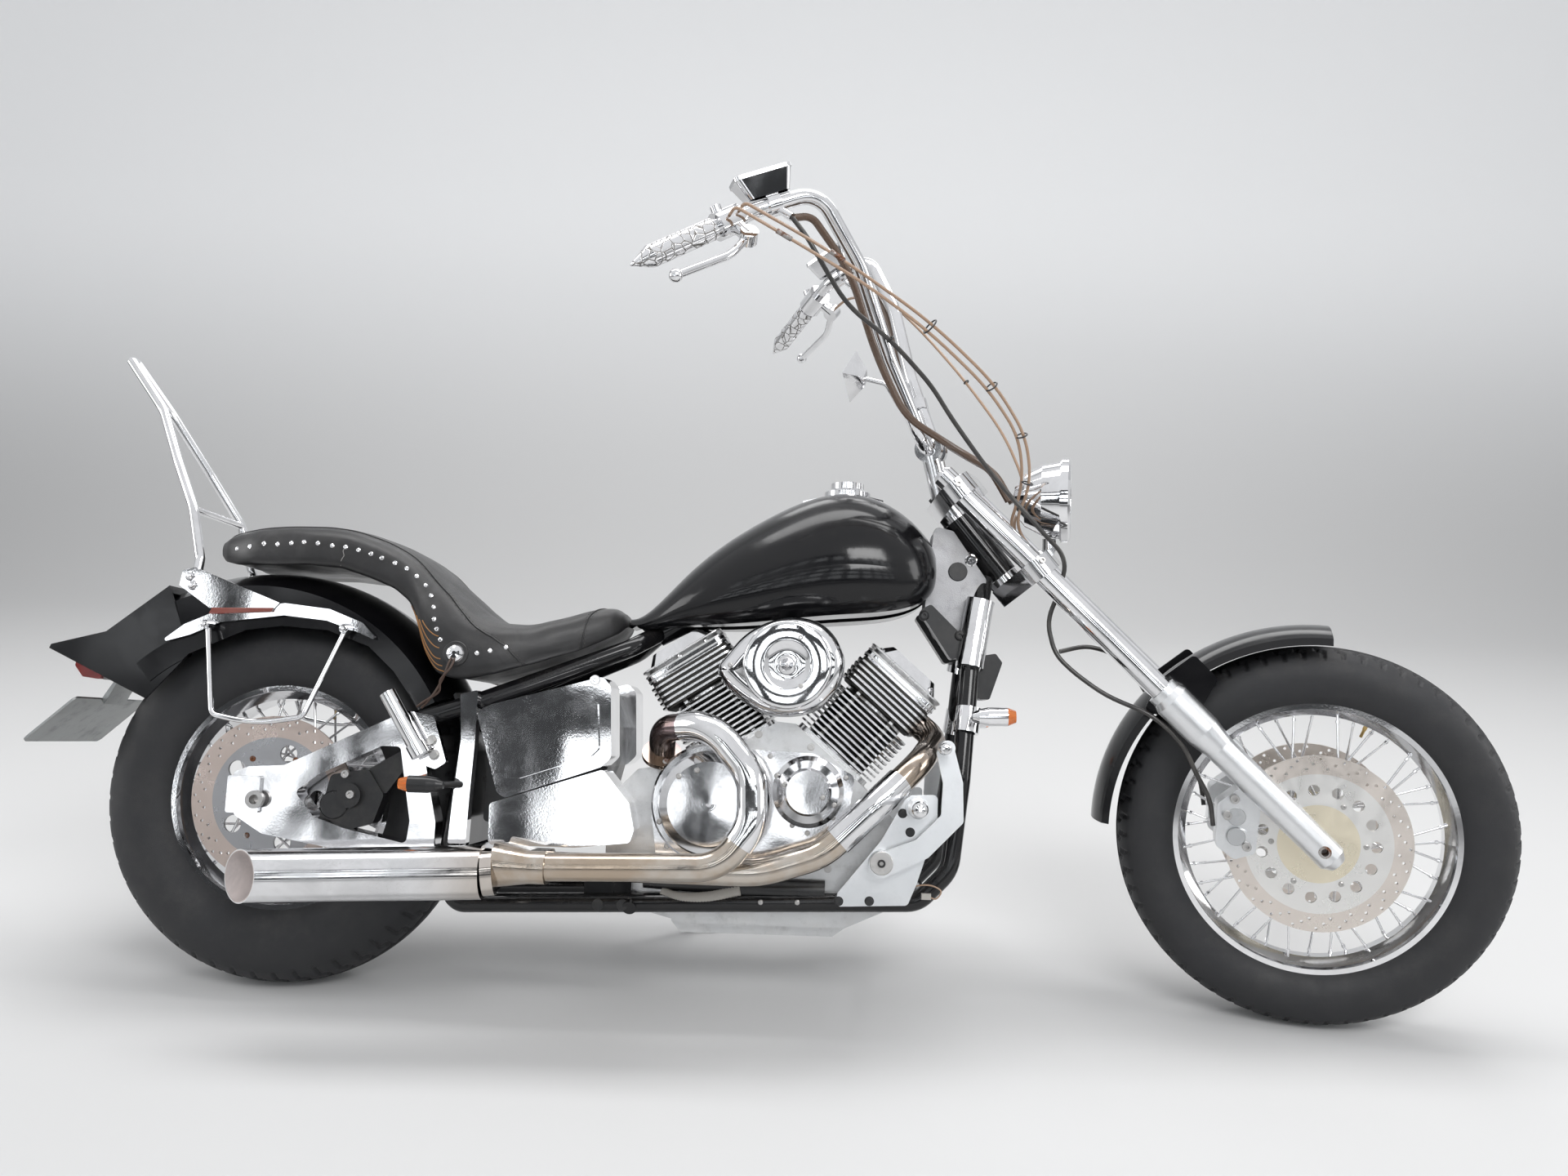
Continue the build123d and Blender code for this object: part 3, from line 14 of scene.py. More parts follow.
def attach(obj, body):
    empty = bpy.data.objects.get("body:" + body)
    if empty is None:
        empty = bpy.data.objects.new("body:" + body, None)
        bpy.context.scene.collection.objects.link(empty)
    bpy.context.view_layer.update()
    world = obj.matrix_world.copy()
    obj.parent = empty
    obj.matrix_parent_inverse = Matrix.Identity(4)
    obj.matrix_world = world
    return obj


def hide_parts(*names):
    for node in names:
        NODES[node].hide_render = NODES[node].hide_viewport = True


bl_info = {
    "name": "Cruiser Motorcycle Looks",
    "version": (1, 0, 0),
    "blender": (4, 5, 0),
    "location": "View3D > Sidebar > Motorcycle",
    "description": "Finishes, leather seat, tyre treads, spoke nipples and fasteners for a packed cruiser",
    "category": "Object",
}

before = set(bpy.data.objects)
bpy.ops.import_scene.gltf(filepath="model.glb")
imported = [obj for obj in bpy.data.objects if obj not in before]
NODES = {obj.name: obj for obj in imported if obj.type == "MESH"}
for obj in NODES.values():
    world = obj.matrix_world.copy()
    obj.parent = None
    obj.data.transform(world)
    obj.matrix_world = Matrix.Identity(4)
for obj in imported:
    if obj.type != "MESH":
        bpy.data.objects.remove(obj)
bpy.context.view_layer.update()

# Where the machine stands: sizes in metres and degrees, from the upright drawing to the leaning row frame
LEAN, PITCH, STEER, RAKE = 16.0, 0.0082644, -14.0, 39.0
SHIFT = Vector((-0.84193468, -0.30160411, 0.00400619))
NECK = Vector((1.2327, 0.0, 0.8076))
WHEELBASE, AXLE_HEIGHT = 1.807, 0.3275
STEER_AXIS = Vector((-sin(radians(RAKE)), 0.0, cos(radians(RAKE))))
PIVOT = Vector((0.0, 0.0, -SHIFT.z))
PLACE = (Matrix.Translation(SHIFT + PIVOT) @ Matrix.Rotation(radians(PITCH), 4, "Y")
         @ Matrix.Translation(-PIVOT) @ Matrix.Rotation(radians(-LEAN), 4, "X"))
STEERED = (PLACE @ Matrix.Translation(NECK) @ Matrix.Rotation(radians(STEER), 4, STEER_AXIS)
           @ Matrix.Translation(-NECK))
FRONT_WHEEL = STEERED @ Matrix.Translation((WHEELBASE, 0, AXLE_HEIGHT))
REAR_WHEEL = PLACE @ Matrix.Translation((0, 0, AXLE_HEIGHT))
MM = 0.001


def at(x, y, z, place=PLACE):
    """Point of the upright drawing, in millimetres, as a point of the row frame."""
    return place @ (Vector((x, y, z)) * MM)


def towards(x, y, z, place=PLACE):
    """Direction of the upright drawing, turned into the row frame."""
    return (place.to_3x3() @ Vector((x, y, z))).normalized()


# Engine, in millimetres and degrees: crank centre, lean of each cylinder, then the heights above the crank
# at which the barrel's fins start, the barrel ends and the head's fins start, and a fin's pitch and thickness
CRANK = (880.0, 330.0)
CYLINDERS = {"front": 41.0, "rear": -33.0}
BARREL_FIN, BARREL_TOP, HEAD_FIN = 149.0, 253.0, 256.0
FIN_PITCH, FIN_THICK = 9.6, 3.4


# Settings that a user may change

def colour_setting(name, description, default):
    return FloatVectorProperty(name=name, description=description, subtype="COLOR", size=3, min=0, max=1,
                               default=default)


def number_setting(name, description, default, least=0.0, **kind):
    return FloatProperty(name=name, description=description, default=default, min=least, **kind)


def length_setting(name, description, default, least=0.0):
    return number_setting(name, description, default, least, subtype="DISTANCE")


def count_setting(name, description, default, least):
    return IntProperty(name=name, description=description, default=default, min=least)


class MOTO_PG_finishes(bpy.types.PropertyGroup):
    """Colours of the painted, plated and moulded surfaces."""
    paint: colour_setting("Paint", "Gloss paint of tank and fenders", (0.005, 0.005, 0.006))
    leather: colour_setting("Leather", "Seat leather", (0.0075, 0.0072, 0.0078))
    chrome: colour_setting("Chrome", "Plated parts", (0.80, 0.80, 0.81))
    alloy: colour_setting("Alloy", "Polished engine castings", (0.68, 0.68, 0.69))
    heat_tint: colour_setting("Heat Tint", "Bronze of the heated exhaust", (0.44, 0.36, 0.28))
    rust: colour_setting("Rust", "Rust on bare steel", (0.20, 0.075, 0.030))
    dust: colour_setting("Dust", "Road dust lying on faces", (0.33, 0.30, 0.26))


class MOTO_PG_seat(bpy.types.PropertyGroup):
    """Leather seat."""
    stud_radius: length_setting("Stud Radius", "Radius of a plated stud", 0.0042, 0.001)
    stitch_pitch: length_setting("Stitch Pitch", "Distance from stitch to stitch", 0.0058, 0.002)
    crease_depth: length_setting("Crease Depth", "Depth of the soft folds where the rider sits", 0.0016)


class MOTO_PG_tyres(bpy.types.PropertyGroup):
    """Tyre treads."""
    groove_depth: length_setting("Groove Depth", "Depth of the tread grooves", 0.0052)
    groove_width: length_setting("Groove Width", "Width of a sipe", 0.0066, 0.001)
    front_pitches: count_setting("Front Pitches", "Tread blocks round the front tyre", 62, 8)
    rear_pitches: count_setting("Rear Pitches", "Tread blocks round the rear tyre", 52, 8)


class MOTO_PG_stage(bpy.types.PropertyGroup):
    """Floor, lamps and camera."""
    floor_colour: colour_setting("Floor", "Floor and backdrop", (0.70, 0.70, 0.70))
    key_power: number_setting("Key Power", "Power of the main and the top softbox", 95.0, unit="POWER")
    fill_power: number_setting("Fill Power", "Power of the other softboxes", 36.0, unit="POWER")
    pane_strength: number_setting("Pane Strength", "Brightness of the panes that metal reflects", 2.4)
    sky_strength: number_setting("Sky Strength", "Light of the world on matt surfaces", 0.42)
    lens: number_setting("Lens", "Focal length of the camera in millimetres", 29.654, 1)


# Node trees

class Shade:
    """A material, or a shader node group, while its nodes are placed and joined."""

    def __init__(self, tree):
        self.tree = tree

    def set(self, **sockets):
        """Gives sockets of the material's surface their values, an underscore standing for a blank."""
        surface = self.tree.nodes["Principled BSDF"].inputs
        for label, value in sockets.items():
            self.put(surface[label.replace("_", " ")], value)

    def add(self, kind, **settings):
        node = self.tree.nodes.new(kind)
        for name, value in settings.items():
            setattr(node, name, value)
        return node

    def fed(self, node, *values):
        """Gives a node's first inputs their values and returns its first output."""
        for socket, value in zip(node.inputs, values):
            self.put(socket, value)
        return node.outputs[0]

    def put(self, socket, value):
        if hasattr(value, "is_output"):
            self.tree.links.new(value, socket)
        elif isinstance(value, (tuple, list, Vector)) and len(value) == 3 and socket.type == "RGBA":
            socket.default_value = (*value, 1.0)
        else:
            socket.default_value = value

    def math(self, operation, a, b=0.5, clamp=False):
        return self.fed(self.add("ShaderNodeMath", operation=operation, use_clamp=clamp), a, b)

    def product(self, a, b, clamp=False):
        return self.math("MULTIPLY", a, b, clamp)

    def total(self, a, b, clamp=False):
        return self.math("ADD", a, b, clamp)

    def distance(self, x, y):
        """Length of the flat vector with these two parts."""
        return self.math("SQRT", self.total(self.product(x, x), self.product(y, y)))

    def between(self, value, low, high, to_low=0.0, to_high=1.0):
        return self.fed(self.add("ShaderNodeMapRange", interpolation_type="SMOOTHSTEP"),
                        value, low, high, to_low, to_high)

    def mix(self, share, a, b):
        node = self.add("ShaderNodeMix", data_type="RGBA")
        for socket, given in zip((node.inputs[0], node.inputs[6], node.inputs[7]), (share, a, b)):
            self.put(socket, given)
        return node.outputs[2]

    def blend(self, share, a, b):
        node = self.add("ShaderNodeMix", data_type="FLOAT")
        for socket, given in zip((node.inputs[0], node.inputs[2], node.inputs[3]), (share, a, b)):
            self.put(socket, given)
        return node.outputs[0]

    def where(self, place=None):
        """Object coordinates, or the drawing's own coordinates when a placement is given."""
        source = self.add("ShaderNodeTexCoord").outputs["Object"]
        if place is None:
            return source
        back = place.inverted()
        node = self.add("ShaderNodeMapping")
        self.put(node.inputs[0], source)
        node.inputs[1].default_value = back.translation
        node.inputs[2].default_value = back.to_euler("XYZ")
        return node.outputs[0]

    def parts(self, vector):
        node = self.add("ShaderNodeSeparateXYZ")
        self.put(node.inputs[0], vector)
        return node.outputs[0], node.outputs[1], node.outputs[2]

    def noise(self, vector, scale, detail=4.0, roughness=0.5, distortion=0.0):
        node = self.add("ShaderNodeTexNoise")
        names = ("Vector", "Scale", "Detail", "Roughness", "Distortion")
        for name, value in zip(names, (vector, scale, detail, roughness, distortion)):
            self.put(node.inputs[name], value)
        return node.outputs["Fac"]

    def cells(self, vector, scale, feature="F1", smooth=0.0):
        node = self.add("ShaderNodeTexVoronoi", feature=feature)
        self.put(node.inputs["Vector"], vector)
        self.put(node.inputs["Scale"], scale)
        if feature == "SMOOTH_F1":
            self.put(node.inputs["Smoothness"], smooth)
        return node.outputs["Distance"]

    def use(self, group, **given):
        node = self.add("ShaderNodeGroup", node_tree=GROUPS[group])
        for name, value in given.items():
            self.put(node.inputs[name], value)
        return node.outputs

    def smears(self, vector, scale):
        return self.use("smears", Vector=vector, Scale=scale)

    def specks(self, vector, scale, amount):
        return self.use("specks", Vector=vector, Scale=scale, Amount=amount)["Mask"]

    def dust(self, vector, amount):
        return self.use("settled_dust", Vector=vector, Amount=amount)["Mask"]

    def cast_grain(self, vector, scale):
        return self.use("cast_grain", Vector=vector, Scale=scale)["Height"]

    def waves(self, vector, scale, direction):
        node = self.add("ShaderNodeTexWave", wave_type="BANDS", bands_direction=direction)
        self.put(node.inputs["Vector"], vector)
        self.put(node.inputs["Scale"], scale)
        return node.outputs["Fac"]

    def bump(self, height, strength, distance, normal=None):
        node = self.add("ShaderNodeBump")
        node.inputs["Strength"].default_value = strength
        node.inputs["Distance"].default_value = distance
        self.put(node.inputs["Height"], height)
        if normal is not None:
            self.put(node.inputs["Normal"], normal)
        return node.outputs[0]


def new_group(name, outputs, **numbers):
    """Empty shader node group that takes a vector and named numbers, and gives named numbers."""
    tree = bpy.data.node_groups.new(name, "ShaderNodeTree")
    tree.interface.new_socket("Vector", in_out="INPUT", socket_type="NodeSocketVector")
    for label, default in numbers.items():
        socket = tree.interface.new_socket(label, in_out="INPUT", socket_type="NodeSocketFloat")
        socket.default_value = default
    for label in outputs:
        tree.interface.new_socket(label, in_out="OUTPUT", socket_type="NodeSocketFloat")
    GROUPS[name] = tree
    shade = Shade(tree)
    return shade, shade.add("NodeGroupInput").outputs, shade.add("NodeGroupOutput").inputs


def make_groups():
    """Effects that several finishes share: specks, smears, settled dust, casting and leather grain."""
    shade, given, out = new_group("specks", ["Mask"], Scale=400.0, Amount=0.2)
    spots = shade.cells(given["Vector"], given["Scale"])
    patch = shade.noise(given["Vector"], 14.0, 3)
    reach = shade.product(given["Amount"], shade.between(patch, 0.42, 0.68))
    shade.put(out["Mask"], shade.between(shade.math("SUBTRACT", reach, spots), -0.02, 0.06))

    shade, given, out = new_group("smears", ["Value", "Height"], Scale=12.0)
    broad = shade.noise(given["Vector"], given["Scale"], 5, 0.62, 0.6)
    fine = shade.noise(given["Vector"], shade.product(given["Scale"], 17.0), 3, 0.6)
    shade.put(out["Value"], shade.between(broad, 0.35, 0.72))
    shade.put(out["Height"], fine)

    shade, given, out = new_group("settled_dust", ["Mask"], Amount=0.5)
    facing = shade.add("ShaderNodeNewGeometry").outputs["Normal"]
    upward = shade.between(shade.parts(facing)[2], -0.15, 0.95, 0.25, 1.0)
    drift = shade.between(shade.noise(given["Vector"], 22.0, 7, 0.68), 0.40, 0.74)
    shade.put(out["Mask"], shade.product(shade.product(upward, drift), given["Amount"], True))

    shade, given, out = new_group("cast_grain", ["Height"], Scale=900.0)
    pebbles = shade.cells(given["Vector"], given["Scale"], "SMOOTH_F1", 0.6)
    shade.put(out["Height"], shade.total(pebbles, shade.noise(given["Vector"], given["Scale"], 3)))

    shade, given, out = new_group("leather_grain", ["Height", "Crease"], Scale=420.0)
    pores = shade.cells(given["Vector"], given["Scale"], "DISTANCE_TO_EDGE")
    folds = shade.noise(given["Vector"], 26.0, 6, 0.6, 1.4)
    shade.put(out["Height"], shade.total(shade.between(pores, 0.0, 0.16), shade.product(folds, 0.8)))
    shade.put(out["Crease"], shade.between(folds, 0.36, 0.62))


GROUPS = {}
MATERIALS = {}


# Finishes

DUST_ROUGHNESS, PIT_ROUGHNESS, FINE_BUMP = 0.75, 0.85, 0.0004

def scaled(colour, share):
    return tuple(c * share for c in colour)


def new_material(name, **sockets):
    material = bpy.data.materials.new(name)
    material.use_nodes = True
    MATERIALS[name] = material
    shade = Shade(material.node_tree)
    shade.set(**sockets)
    return shade


def dusty(shade, vector, colour, roughness, amount, dust):
    """Base colour and roughness under a thin layer of settled dust."""
    mask = shade.dust(vector, amount)
    shade.set(Base_Color=shade.mix(mask, colour, dust),
              Roughness=shade.blend(mask, roughness, DUST_ROUGHNESS))


def make_paint(name, colour, dust, roughness=0.17, coat=0.12, amount=0.012):
    """Sprayed paint with orange peel, wipe marks and dust."""
    shade = new_material(name, Coat_Weight=coat, Coat_Roughness=0.06, Specular_IOR_Level=0.32)
    vector = shade.where()
    smear = shade.smears(vector, 9.0)
    rough = shade.blend(smear["Value"], roughness * 0.7, roughness * 1.35)
    dusty(shade, vector, colour, rough, amount, dust)
    shade.set(Normal=shade.bump(shade.noise(vector, 320.0, 2), 0.02, 0.0006))


def make_plated(name, colour, rust, pits=0.12, roughness=0.03, smear_rise=0.05, wave_scale=5.0,
                wave_depth=0.0022):
    """Chrome plate with wipe marks, small rust pits and the slight waves of pressed sheet."""
    shade = new_material(name)
    vector = shade.where()
    smear = shade.smears(vector, 15.0)
    pit = shade.specks(vector, 520.0, pits)
    dust = shade.dust(vector, 0.05)
    tone = shade.mix(smear["Value"], colour, scaled(colour, 0.86))
    tone = shade.mix(dust, tone, (0.42, 0.40, 0.37))
    shade.set(Base_Color=shade.mix(pit, tone, rust), Metallic=shade.blend(pit, 1.0, 0.1))
    rough = shade.blend(smear["Value"], roughness, roughness + smear_rise)
    rough = shade.blend(dust, rough, 0.6)
    shade.set(Roughness=shade.blend(pit, rough, PIT_ROUGHNESS))
    pitted = shade.bump(shade.math("SUBTRACT", smear["Height"], shade.product(pit, 4.0)), 0.06, FINE_BUMP)
    shade.set(Normal=shade.bump(shade.noise(vector, wave_scale, 1), 1.0, wave_depth, pitted))


def make_alloy(name, dust_colour, colour, roughness, grain, grain_scale, tarnish, soil):
    """Aluminium: cast, satin or polished, with dull oxide and grime."""
    shade = new_material(name)
    vector = shade.where()
    smear = shade.smears(vector, 11.0)
    oxide = shade.between(shade.noise(vector, 34.0, 8, 0.7), 0.48, 0.72)
    tone = shade.mix(shade.product(oxide, tarnish), colour, scaled(colour, 0.62))
    dust = shade.dust(vector, soil)
    shade.set(Base_Color=shade.mix(dust, tone, dust_colour), Metallic=shade.blend(dust, 1.0, 0.25))
    worn = shade.product(shade.total(oxide, smear["Value"]), 0.5)
    rough = shade.blend(worn, roughness, roughness + 0.14)
    shade.set(Roughness=shade.blend(dust, rough, 0.8))
    shade.set(Normal=shade.bump(shade.cast_grain(vector, grain_scale), grain, 0.0005))


def make_plain(name, dust, colour, roughness, amount, grain, grain_scale, coat):
    """Moulded plastic, rubber or satin powder coat."""
    shade = new_material(name, Coat_Weight=coat, Coat_Roughness=0.2)
    vector = shade.where()
    smear = shade.smears(vector, 13.0)
    rough = shade.blend(smear["Value"], roughness * 0.8, min(1.0, roughness * 1.25))
    dusty(shade, vector, colour, rough, amount, dust)
    shade.set(Normal=shade.bump(shade.cast_grain(vector, grain_scale), grain, FINE_BUMP))


def make_leather(name, colour, dust):
    """Grained, creased leather with a worn sheen."""
    shade = new_material(name, Specular_IOR_Level=0.55)
    vector = shade.where()
    grain = shade.use("leather_grain", Vector=vector, Scale=560.0)
    smear = shade.smears(vector, 10.0)
    worn = tuple(c * 2.1 + 0.004 for c in colour)
    tone = shade.mix(shade.product(grain["Crease"], smear["Value"]), colour, worn)
    rough = shade.blend(smear["Value"], 0.30, 0.46)
    dusty(shade, vector, tone, rough, 0.035, dust)
    shade.set(Normal=shade.bump(grain["Height"], 0.22, 0.0005))


def make_tyre(name, colour, dust):
    """Tyre rubber: blue-black, smeared, with a fine moulded grain."""
    shade = new_material(name)
    vector = shade.where()
    smear = shade.smears(vector, 8.0)
    tone = shade.mix(smear["Value"], colour, scaled(colour, 1.5))
    dusty(shade, vector, tone, shade.blend(smear["Value"], 0.55, 0.72), 0.16, dust)
    shade.set(Normal=shade.bump(shade.cast_grain(vector, 620.0), 0.22, FINE_BUMP))


def make_fins(name, colour, degrees):
    """Finned barrel and head: bright fin edges and dark gaps of painted shade, told apart along the
    cylinder's axis.
    """
    shade = new_material(name)
    vector = shade.where(PLACE)
    x, _, z = shade.parts(vector)
    rise = shade.total(shade.product(shade.math("SUBTRACT", x, CRANK[0] * MM), sin(radians(degrees))),
                      shade.product(shade.math("SUBTRACT", z, CRANK[1] * MM), cos(radians(degrees))))
    first = shade.blend(shade.math("GREATER_THAN", rise, BARREL_TOP * MM), BARREL_FIN * MM, HEAD_FIN * MM)
    share = shade.math("FRACT", shade.math("DIVIDE", shade.math("SUBTRACT", rise, first), FIN_PITCH * MM))
    # Painted shade: a mask of the gaps between the fins, where shadow falls
    painted_shade_gap = shade.between(share, FIN_THICK / FIN_PITCH + 0.04, FIN_THICK / FIN_PITCH + 0.16)
    painted_shade_gap = shade.product(painted_shade_gap, shade.math("GREATER_THAN", rise, (BARREL_FIN - 2) * MM))
    smear = shade.smears(vector, 14.0)
    tone = shade.mix(smear["Value"], colour, scaled(colour, 0.8))
    # Painted shade: the gaps take a dark, less metallic colour and a duller roughness
    shade.set(Base_Color=shade.mix(painted_shade_gap, tone, (0.045, 0.042, 0.038)), Metallic=shade.blend(painted_shade_gap, 1.0, 0.3))
    shade.set(Roughness=shade.blend(painted_shade_gap, shade.blend(smear["Value"], 0.16, 0.3), 0.7))
    shade.set(Normal=shade.bump(shade.cast_grain(vector, 900.0), 0.06, FINE_BUMP))


def make_rusty(name, steel, rust, cover):
    """Bare steel with patches of rust."""
    shade = new_material(name)
    vector = shade.where()
    patch = shade.noise(vector, 46.0, 8, 0.72)
    mask = shade.between(patch, 0.62 - cover * 0.34, 0.74 - cover * 0.3)
    tone = shade.mix(shade.between(shade.noise(vector, 210.0, 4), 0.3, 0.7), rust, scaled(rust, 0.45))
    shade.set(Base_Color=shade.mix(mask, steel, tone), Metallic=shade.blend(mask, 1.0, 0.0))
    shade.set(Roughness=shade.blend(mask, 0.34, 0.88))
    shade.set(Normal=shade.bump(shade.product(patch, mask), 0.35, 0.0012))


def make_lens(name, colour, alpha=0.9, transmission=0.55):
    """Coloured or clear moulded lens with fine ribs inside."""
    shade = new_material(name, Transmission_Weight=transmission, IOR=1.49, Coat_Weight=0.3)
    vector = shade.where()
    smear = shade.smears(vector, 30.0)
    shade.set(Base_Color=colour, Roughness=shade.blend(smear["Value"], 0.08, 0.22), Alpha=alpha)
    shade.set(Normal=shade.bump(shade.waves(vector, 60.0, "Z"), 0.15, 0.0006))


def axis_place(start, end, place=PLACE):
    """Frame whose X axis runs from one drawing point towards another."""
    base = Vector(start) * MM
    run = (Vector(end) - Vector(start)).normalized()
    turn = Vector((1, 0, 0)).rotation_difference(run).to_matrix()
    return place @ Matrix.Translation(base) @ turn.to_4x4()


# Where a finish changes, in metres: heights between which the headers turn blue, the muffler's bore, how far
# along it the soot starts, and the indicators' joint; the muffler's run is in millimetres of the drawing
BLUED_HEIGHTS = (0.36, 0.48)
MUFFLER_RUN, MUFFLER_BORE, MUFFLER_SOOT_FROM = ((414, -236, 229), (-60, -258, 206)), 0.0414, 0.27
SIGNAL_SPLIT = 0.7


def make_exhaust(name, finish):
    """Header steel: blued at the ports, bronze further down."""
    shade = new_material(name)
    vector = shade.where(PLACE)
    x, _, z = shade.parts(vector)
    smear = shade.smears(vector, 16.0)
    drift = shade.noise(vector, 9.0, 5, 0.6)
    tint = shade.mix(shade.between(drift, 0.35, 0.65), finish.heat_tint, (0.56, 0.52, 0.47))
    hot = shade.between(z, *BLUED_HEIGHTS)
    dark = shade.mix(smear["Value"], (0.12, 0.085, 0.075), (0.22, 0.17, 0.19))
    front = shade.between(x, 0.9, 1.0)
    tint = shade.mix(shade.product(hot, shade.blend(front, 1.0, 0.45)), tint, dark)
    shade.set(Base_Color=tint, Metallic=0.95, Roughness=shade.blend(smear["Value"], 0.10, 0.26))
    shade.set(Normal=shade.bump(smear["Height"], 0.05, FINE_BUMP))


def make_muffler(name, finish):
    """Plated straight pipe with a matt burnt mouth."""
    shade = new_material(name)
    vector = shade.where(axis_place(*MUFFLER_RUN))
    x, y, z = shade.parts(vector)
    inside = shade.math("LESS_THAN", shade.distance(y, z), MUFFLER_BORE)
    mouth = shade.product(inside, shade.math("GREATER_THAN", x, MUFFLER_SOOT_FROM))
    smear = shade.smears(vector, 12.0)
    pit = shade.specks(vector, 480.0, 0.16)
    warm = shade.between(x, 0.12, -0.02)
    tone = shade.mix(smear["Value"], finish.chrome, scaled(finish.chrome, 0.84))
    tone = shade.mix(shade.product(warm, 0.6), tone, finish.heat_tint)
    tone = shade.mix(pit, tone, finish.rust)
    soot = shade.mix(smear["Value"], (0.60, 0.53, 0.51), (0.44, 0.39, 0.38))
    shade.set(Base_Color=shade.mix(mouth, tone, soot), Metallic=shade.blend(mouth, 1.0, 0.0))
    rough = shade.blend(smear["Value"], 0.07, 0.2)
    shade.set(Roughness=shade.blend(mouth, rough, 0.85), Normal=shade.bump(smear["Height"], 0.05, FINE_BUMP))


def make_signal(name, finish):
    """Indicator bodies: plated ahead of a place along the machine, black behind it."""
    shade = new_material(name)
    vector = shade.where(PLACE)
    front = shade.math("GREATER_THAN", shade.parts(vector)[0], SIGNAL_SPLIT)
    smear = shade.smears(vector, 18.0)
    shade.set(Base_Color=shade.mix(front, (0.013, 0.013, 0.014), finish.chrome), Metallic=front)
    shade.set(Roughness=shade.blend(front, 0.3, shade.blend(smear["Value"], 0.05, 0.12)))


def make_engraved(name, colour):
    """Plated grip with a cut pattern whose grooves have darkened."""
    shade = new_material(name)
    lattice = shade.cells(shade.where(PLACE), 62.0, "DISTANCE_TO_EDGE")
    cut = shade.between(lattice, 0.015, 0.07)
    shade.set(Base_Color=shade.mix(cut, (0.16, 0.15, 0.14), colour), Metallic=shade.blend(cut, 0.8, 1.0))
    shade.set(Roughness=shade.blend(cut, 0.5, 0.07), Normal=shade.bump(cut, 0.8, 0.0007))


def make_disc(name, place, rust, ring_in, hub_out, ring_colour, carrier_colour):
    """Brake disc: rubbed ring, carrier and pale centre, told apart by their distance from the axle."""
    shade = new_material(name)
    vector = shade.where(place)
    x, _, z = shade.parts(vector)
    radius = shade.distance(x, z)
    ring = shade.math("GREATER_THAN", radius, ring_in)
    centre = shade.math("LESS_THAN", radius, hub_out)
    rings = shade.noise(shade.fed(shade.add("ShaderNodeCombineXYZ"), radius), 2200.0, 3)
    smear = shade.smears(vector, 20.0)
    tone = shade.mix(ring, carrier_colour, ring_colour)
    tone = shade.mix(centre, tone, (0.80, 0.73, 0.58))
    pit = shade.specks(vector, 300.0, 0.06)
    shade.set(Base_Color=shade.mix(pit, tone, rust), Metallic=shade.blend(pit, 0.92, 0.1))
    shade.set(Roughness=shade.blend(smear["Value"], 0.26, 0.44), Normal=shade.bump(rings, 0.16, 0.0003))


# Finishes that differ by numbers only
Colours = namedtuple("Colours", "paint leather chrome alloy heat_tint rust dust")
Plain = namedtuple("Plain", "colour roughness dust grain grain_scale coat", defaults=(0.4, 0.2, 700.0, 0.0))
PLAINS = {
    "satin_black": Plain((0.012, 0.012, 0.013), 0.4, 0.12),
    "black_plastic": Plain((0.012, 0.012, 0.013), 0.34, 0.08, 0.16, 800.0),
    "thread": Plain((0.030, 0.028, 0.027), 0.6, 0.2),
    "tan_cable": Plain((0.36, 0.235, 0.155), 0.34, 0.2, 0.2, 1400.0, 0.5),
    "brown_hose": Plain((0.085, 0.045, 0.024), 0.3, 0.2, 0.3, 900.0, 0.7),
    "black_hose": Plain((0.02, 0.018, 0.017), 0.36, 0.3, 0.3, 1200.0, 0.4),
    "thong_leather": Plain((0.045, 0.022, 0.014), 0.6, 0.1),
    "stripe_leather": Plain((0.32, 0.15, 0.045), 0.5, 0.05),
    "tear_lining": Plain((0.30, 0.29, 0.28), 0.8, 0.05),
    "hose_grey": Plain((0.40, 0.38, 0.35), 0.7, 0.4),
    "reflector": Plain((0.20, 0.035, 0.02), 0.22, 0.15, 0.1, 700.0, 0.4),
}
Alloy = namedtuple("Alloy", "colour roughness grain grain_scale tarnish soil", defaults=(0.3,))
ALLOYS = {
    "plate_grey": Alloy((0.34, 0.35, 0.35), 0.42, 0.12, 500.0, 0.5),
    "case_alloy": Alloy((0.60, 0.60, 0.60), 0.3, 0.16, 700.0, 0.5),
    "bright_alloy": Alloy((0.76, 0.77, 0.78), 0.3, 0.08, 800.0, 0.15, 0.1),
    "brass": Alloy((0.62, 0.44, 0.18), 0.3, 0.08, 800.0, 0.3, 0.1),
    "fin_alloy": Alloy((0.66, 0.66, 0.66), 0.24, 0.10, 900.0, 0.45),
    "satin_alloy": Alloy((0.52, 0.53, 0.54), 0.36, 0.18, 800.0, 0.4),
    "cast_grey": Alloy((0.36, 0.36, 0.37), 0.46, 0.4, 700.0, 0.5),
    "bare_steel": Alloy((0.50, 0.49, 0.48), 0.34, 0.15, 500.0, 0.5),
}

